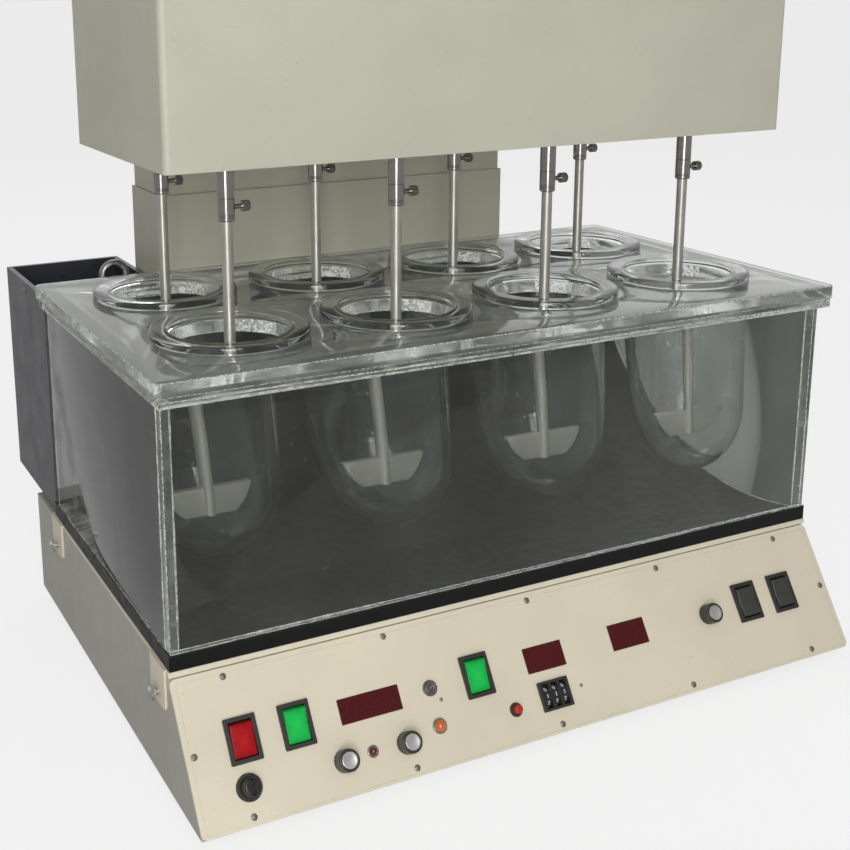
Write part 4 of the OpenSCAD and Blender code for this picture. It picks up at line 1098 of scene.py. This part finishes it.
class TesterTank(bpy.types.Operator):
    """Makes the tank, the lid and the heater well"""

    bl_idname = "tester.tank"
    bl_label = "Tank and lid"

    def execute(self, context):
        look = context.scene.tester_clear
        tint = tuple(look.acrylic)
        self.walls(look, tint)
        self.lid(look, tint)
        self.black_parts()
        return {"FINISHED"}

    def black_parts(self):
        """Paints the floor and rear of the tank, the heater well and its tube."""
        black = Finish("black acrylic", shade("1D1E19"), Specular_IOR_Level=0.25)
        black.clouds(0.06, 0.14)
        black.specks(0.0022, shade("74766F"), 0.68, 0.2)
        # Below the walls the outside strip is painted darker than the same black sheet inside the tank:
        # painted shade.
        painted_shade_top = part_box("tank_walls")[0].z - 2 * MM
        skirt = black.ramp(black.along(2), painted_shade_top, painted_shade_top + MM, 1, 0)
        black.blend(skirt, shade("101012"))
        black.round_edges(0.0006)
        black.rough(0.012, 0.3, 0.48)
        dress(black.material, "tank_black_panels")
        well = Finish("black well", shade("33343A"))
        well.clouds(0.08, 0.12)
        # Edges painted lighter than the dark sheet: partly wear, partly a painted highlight.
        well.round_edges(0.0008, shade("66676B"), 0.5)
        well.rough(0.03, 0.26, 0.36)
        dress(well.material, "heater_well")
        dress(plain_metal("heater steel", "8F8F8C", 0.3, 0.5), "heater_tube")

    def walls(self, look, tint):
        """The clear walls and the rim strip. The end walls get a darker tint than the front, which is
        painted shade on the same clear sheet.
        """
        front = clear_sheet("front acrylic", tint, look.front_haze, 0.0, 0.03)
        # The same clear sheet, tinted darker for the end walls: painted shade.
        darker_tint = toned(tint, 0.4)
        side = clear_sheet("side acrylic", darker_tint, look.side_haze, 0.02, 0.12, (1, 1, 0.12))
        edge = sawn_edge("sawn acrylic edge", tint, 0.05)
        rim = chipped_rim()
        wall_height = 100 * MM
        uprights = []
        for i, points in enumerate(solids("tank_walls")):
            low, high = corners(points)
            size = high - low
            thin = min(range(3), key=lambda axis: size[axis])
            is_wall = size.z > wall_height
            sheet = side if is_wall and thin == 0 else front
            mesh = closed_mesh(block(low, high, 0.5 * MM))
            sort_faces(mesh, thin if is_wall else 2)
            clear_piece(f"tank_wall_{i + 1}", mesh, [sheet, edge, rim], "tank_walls")
            if is_wall:
                uprights.append((low, high, thin))
        self.beads(uprights)

    def beads(self, walls):
        """Runs of cement along the foot and top of each wall, and up the corners in front."""
        lines = []
        for low, high, thin in walls:
            for face in (low[thin], high[thin]):
                for height in (low.z, high.z):
                    start, end = Vector(low), Vector(high)
                    start[thin] = end[thin] = face
                    start.z = end.z = height
                    lines.append((start, end, 0.7 * MM))
            if thin == 0:
                for x in (low.x, high.x):
                    lines.append((Vector((x, low.y, low.z)), Vector((x, low.y, high.z)), 0.6 * MM))
        shapes = [(bead(*line, seed), Matrix.Identity(4)) for seed, line in enumerate(lines, 1)]
        clear_piece("cement_runs", joined(shapes), [glue_line()], "tank_walls")

    def lid(self, look, tint):
        """The lid plate with its eight holes."""
        low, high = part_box("lid_plate")
        holes = [
            circle(at.x, at.y, HOLE_R) for at in (middle("chuck_" + place) for place in PLACES)
        ]
        rim = round_rect(low, high, LID_CORNER_R)
        shape = holed_plate([rim] + holes, high.z - low.z, 0.7 * MM)
        at = Matrix.Translation((0, 0, (low.z + high.z) / 2))
        mesh = closed_mesh(shape)
        sort_faces(mesh, 2)
        top = clear_sheet("lid acrylic", tint, look.lid_haze, 0.02, 0.1)
        finishes = [top, sawn_edge("lid edge", tint, 0.16), chipped_rim()]
        clear_piece("lid_sheet", mesh, finishes, "lid_plate", at)


class TesterVessels(bpy.types.Operator):
    """Makes the eight glass vessels"""

    bl_idname = "tester.vessels"
    bl_label = "Vessels"

    def execute(self, context):
        low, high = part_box("vessel_f1")
        kinds = {
            misty: (closed_mesh(vessel_shape(low.z, high.z)), vessel_glass(name, edge, share))
            for misty, name, edge, share in (
                (False, "vessel glass", 0.62, 0.2),
                (True, "misty vessel glass", 0.58, 0.26),
            )
        }
        for place in PLACES:
            mesh, glass = kinds[place in MISTY]
            node = "vessel_" + place
            clear_piece("glass_" + place, mesh, [glass], node, over(node))
        return {"FINISHED"}


class TesterSpindles(bpy.types.Operator):
    """Makes the paddles, their chucks and the chucks' screws"""

    bl_idname = "tester.spindles"
    bl_label = "Spindles"

    def execute(self, context):
        steel = plain_metal("paddle steel", "BDBAB2", 0.3, 0.42, (1, 1, 0.03), 0.85)
        dark = plain_metal("chuck steel", "A09E99", 0.12, 0.24, (1, 1, 8))
        blade_low, shaft_top = (corner.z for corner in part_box("paddle_f1"))
        shaft = [(0, blade_low), (4.2 * MM, blade_low), (SHAFT_R, blade_low + 0.5 * MM)]
        shaft += [(SHAFT_R, shaft_top), (0, shaft_top)]
        upright = Matrix.Translation((0, 0, blade_low)) @ Matrix.Rotation(math.pi / 2, 4, "X")
        paddle = closed_mesh(joined([(turned(shaft, 48), Matrix.Identity(4)), (blade(), upright)]))
        screw = closed_mesh(chuck_screw())
        belt_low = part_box("drive_belt")[0].z
        screw_up = 11 * MM
        for place in PLACES:
            node = "chuck_" + place
            low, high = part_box(node)
            axis = over("paddle_" + place)
            piece("paddle_steel_" + place, paddle, [steel], "paddle_" + place, axis)
            body = chuck_body(low.z, high.z, belt_low)
            piece("chuck_body_" + place, body, [dark], node, axis)
            across = axis @ Matrix.Translation((0, 0, low.z + screw_up))
            across = across @ Matrix.Rotation(math.pi / 2, 4, "Y")
            piece("chuck_screw_" + place, screw, [dark], node, across)
        return {"FINISHED"}


class TesterHead(bpy.types.Operator):
    """Paints the head, the column and the lift"""

    bl_idname = "tester.head"
    bl_label = "Head and column"

    def execute(self, context):
        look = context.scene.tester_paint
        colour = tuple(look.head)
        dress(sheet_paint("head paint", colour).material, "head_cover", "head_bottom_plate")
        dress(sheet_paint("column paint", colour).material, "column_shell", "lift_carriage")
        steel = plain_metal("drive steel", "8E9092", 0.3, 0.45)
        dress(steel, "spindle_bearings", "lift_screw")
        dress(moulded("motor paint", "35373B"), "drive_motor", "lift_gearbox")
        dress(moulded("belt rubber", "161616", 0.6, 0.8), "drive_belt")
        return {"FINISHED"}


class TesterStage(bpy.types.Operator):
    """Sets up the camera, the lamps, the floor and the world"""

    bl_idname = "tester.stage"
    bl_label = "Stage"

    def execute(self, context):
        look = context.scene.tester_stage
        context.scene.view_settings.view_transform = "Standard"
        self.camera(look)
        self.lamps(look)
        self.floor()
        self.world(context.scene)
        return {"FINISHED"}

    def camera(self, look):
        """The camera that was fitted to the photo: its turns in radians and its lens shift."""
        yaw, pitch, roll = 0.444240, 0.236276, -0.011767
        ahead = Vector(
            (math.sin(yaw) * math.cos(pitch), math.cos(yaw) * math.cos(pitch), -math.sin(pitch))
        )
        across = Vector((math.cos(yaw), -math.sin(yaw), 0))
        up = across.cross(ahead)
        right = math.cos(roll) * across + math.sin(roll) * up
        upright = -math.sin(roll) * across + math.cos(roll) * up
        data = bpy.data.cameras.new("camera")
        data.sensor_width = 36
        data.lens = look.lens
        data.shift_x, data.shift_y = 0.1233, -0.1510
        obj = placed("camera", data)
        turn = Matrix((right, upright, -ahead)).transposed().to_4x4()
        obj.matrix_world = Matrix.Translation(look.camera_at) @ turn
        bpy.context.scene.camera = obj

    def lamps(self, look):
        """Three soft lamps that face the middle of the tester."""
        aim = Vector((0, 0, 0.35))
        # Each lamp's name, place, width and share of the key lamp's power
        for name, place, size, share in (
            ("key lamp", (-0.9, -2.0, 1.3), 1.1, 1.0),
            ("low lamp", (-1.0, -2.0, 0.45), 0.6, 0.5),
            ("rear lamp", (0.6, 2.2, 2.4), 1.2, 0.6),
        ):
            data = bpy.data.lights.new(name, "AREA")
            data.size = size
            data.energy = look.lamp_watts * share
            obj = placed(name, data)
            obj.location = place
            obj.rotation_euler = (aim - Vector(place)).to_track_quat("-Z", "Y").to_euler()

    def floor(self):
        """A pale floor that keeps the shadow, and is dimmer where a surface mirrors it."""
        reach = 60
        in_sight, mirrored_share, mirrored_glow = 0.75, 1.0, 0.4
        bm = bmesh.new()
        bmesh.ops.create_grid(bm, x_segments=1, y_segments=1, size=reach)
        mesh = bpy.data.meshes.new("floor")
        bm.to_mesh(mesh)
        bm.free()
        obj = placed("floor", mesh)
        obj.location.z = -0.2 * MM
        finish = Finish("floor", (0.86, 0.86, 0.86), Roughness=0.9)
        path = finish.node("LightPath").outputs
        seen = finish.math("MAXIMUM", path["Is Camera Ray"], path["Is Transmission Ray"])
        seen = finish.math("MAXIMUM", seen, path["Is Glossy Ray"])
        lighting = finish.math("MINIMUM", path["Diffuse Depth"], 1.0)
        mirrored = finish.math("MINIMUM", path["Glossy Depth"], 1.0)
        share = finish.math("MULTIPLY", seen, finish.math("SUBTRACT", 1.0, lighting))
        cover = finish.ramp(mirrored, 0, 1, in_sight, mirrored_share)
        share = finish.math("MULTIPLY", share, cover)
        strength = finish.ramp(mirrored, 0, 1, 1.0, mirrored_glow)
        glow = finish.node("Emission", {"Color": (1, 1, 1, 1), "Strength": strength}).outputs[0]
        mix = finish.node("MixShader", {0: share, 1: finish.shader.outputs[0], 2: glow})
        finish.tree.links.new(mix.outputs[0], finish.output.inputs["Surface"])
        mesh.materials.append(finish.material)

    def world(self, scene):
        """White to the camera, softer as light, and darker low in front for reflections."""
        world = bpy.data.worlds.new("studio")
        scene.world = world
        world.use_nodes = True
        tree = world.node_tree
        tree.nodes.clear()

        def node(kind, inputs=(), **settings):
            return shader_node(tree, kind, inputs, **settings)

        path = node("LightPath").outputs
        direction = node("SeparateXYZ", {0: node("TexCoord").outputs["Generated"]}).outputs

        def larger(a, b):
            return node("Math", {0: a, 1: b}, operation="MAXIMUM").outputs[0]

        def at_most_one(depth):
            return node("Math", {0: depth, 1: 1.0}, operation="MINIMUM").outputs[0]

        def graded(axis, start, end, low, high):
            inputs = {"Value": direction[axis], "From Min": start, "From Max": end}
            return node("MapRange", {**inputs, "To Min": low, "To Max": high}).outputs[0]

        plain = 0.42
        mirrored = larger(graded("Y", -0.2, 0.5, 0.3, 1.0), graded("Z", 0.2, 1.0, 0.3, 0.6))
        seen = larger(larger(path["Is Camera Ray"], path["Is Transmission Ray"]), path["Is Glossy Ray"])
        tone = node("Mix", {0: at_most_one(path["Glossy Depth"]), 2: 1.0, 3: mirrored}).outputs[0]
        tone = node("Mix", {0: at_most_one(path["Diffuse Depth"]), 2: tone, 3: plain}).outputs[0]
        strength = node("Mix", {0: seen, 2: plain, 3: tone}).outputs[0]
        sky = node("Background", {"Strength": strength})
        out = node("OutputWorld")
        tree.links.new(sky.outputs[0], out.inputs["Surface"])


OPERATORS = (
    TesterConsole,
    TesterControls,
    TesterTank,
    TesterVessels,
    TesterSpindles,
    TesterHead,
    TesterStage,
)


GROUPS = {
    "tester_paint": PaintLook,
    "tester_clear": ClearLook,
    "tester_controls": ControlLook,
    "tester_stage": StageLook,
}


class TesterPanel(bpy.types.Panel):
    """Lists the tester's operators and settings"""

    bl_idname = "VIEW3D_PT_tester"
    bl_label = "Dissolution Tester"
    bl_space_type = "VIEW_3D"
    bl_region_type = "UI"
    bl_category = "Tester"

    def draw(self, context):
        for name in GROUPS:
            group = getattr(context.scene, name)
            for key in group.bl_rna.properties.keys():
                if key not in ("rna_type", "name"):
                    self.layout.prop(group, key)
        for operator in OPERATORS:
            self.layout.operator(operator.bl_idname)


def register():
    """Registers the settings, the operators and the panel."""
    for group in GROUPS.values():
        bpy.utils.register_class(group)
    for name, group in GROUPS.items():
        setattr(bpy.types.Scene, name, PointerProperty(type=group))
    for operator in OPERATORS:
        bpy.utils.register_class(operator)
    bpy.utils.register_class(TesterPanel)


def unregister():
    """Takes everything out again, in the opposite order."""
    bpy.utils.unregister_class(TesterPanel)
    for operator in reversed(OPERATORS):
        bpy.utils.unregister_class(operator)
    for name, group in GROUPS.items():
        delattr(bpy.types.Scene, name)
        bpy.utils.unregister_class(group)


def main():
    """Makes the stage and every piece."""
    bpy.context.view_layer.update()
    register()
    bpy.ops.tester.stage()
    bpy.ops.tester.console()
    bpy.ops.tester.controls()
    bpy.ops.tester.tank()
    bpy.ops.tester.vessels()
    bpy.ops.tester.spindles()
    bpy.ops.tester.head()


if __name__ == "__main__":
    main()
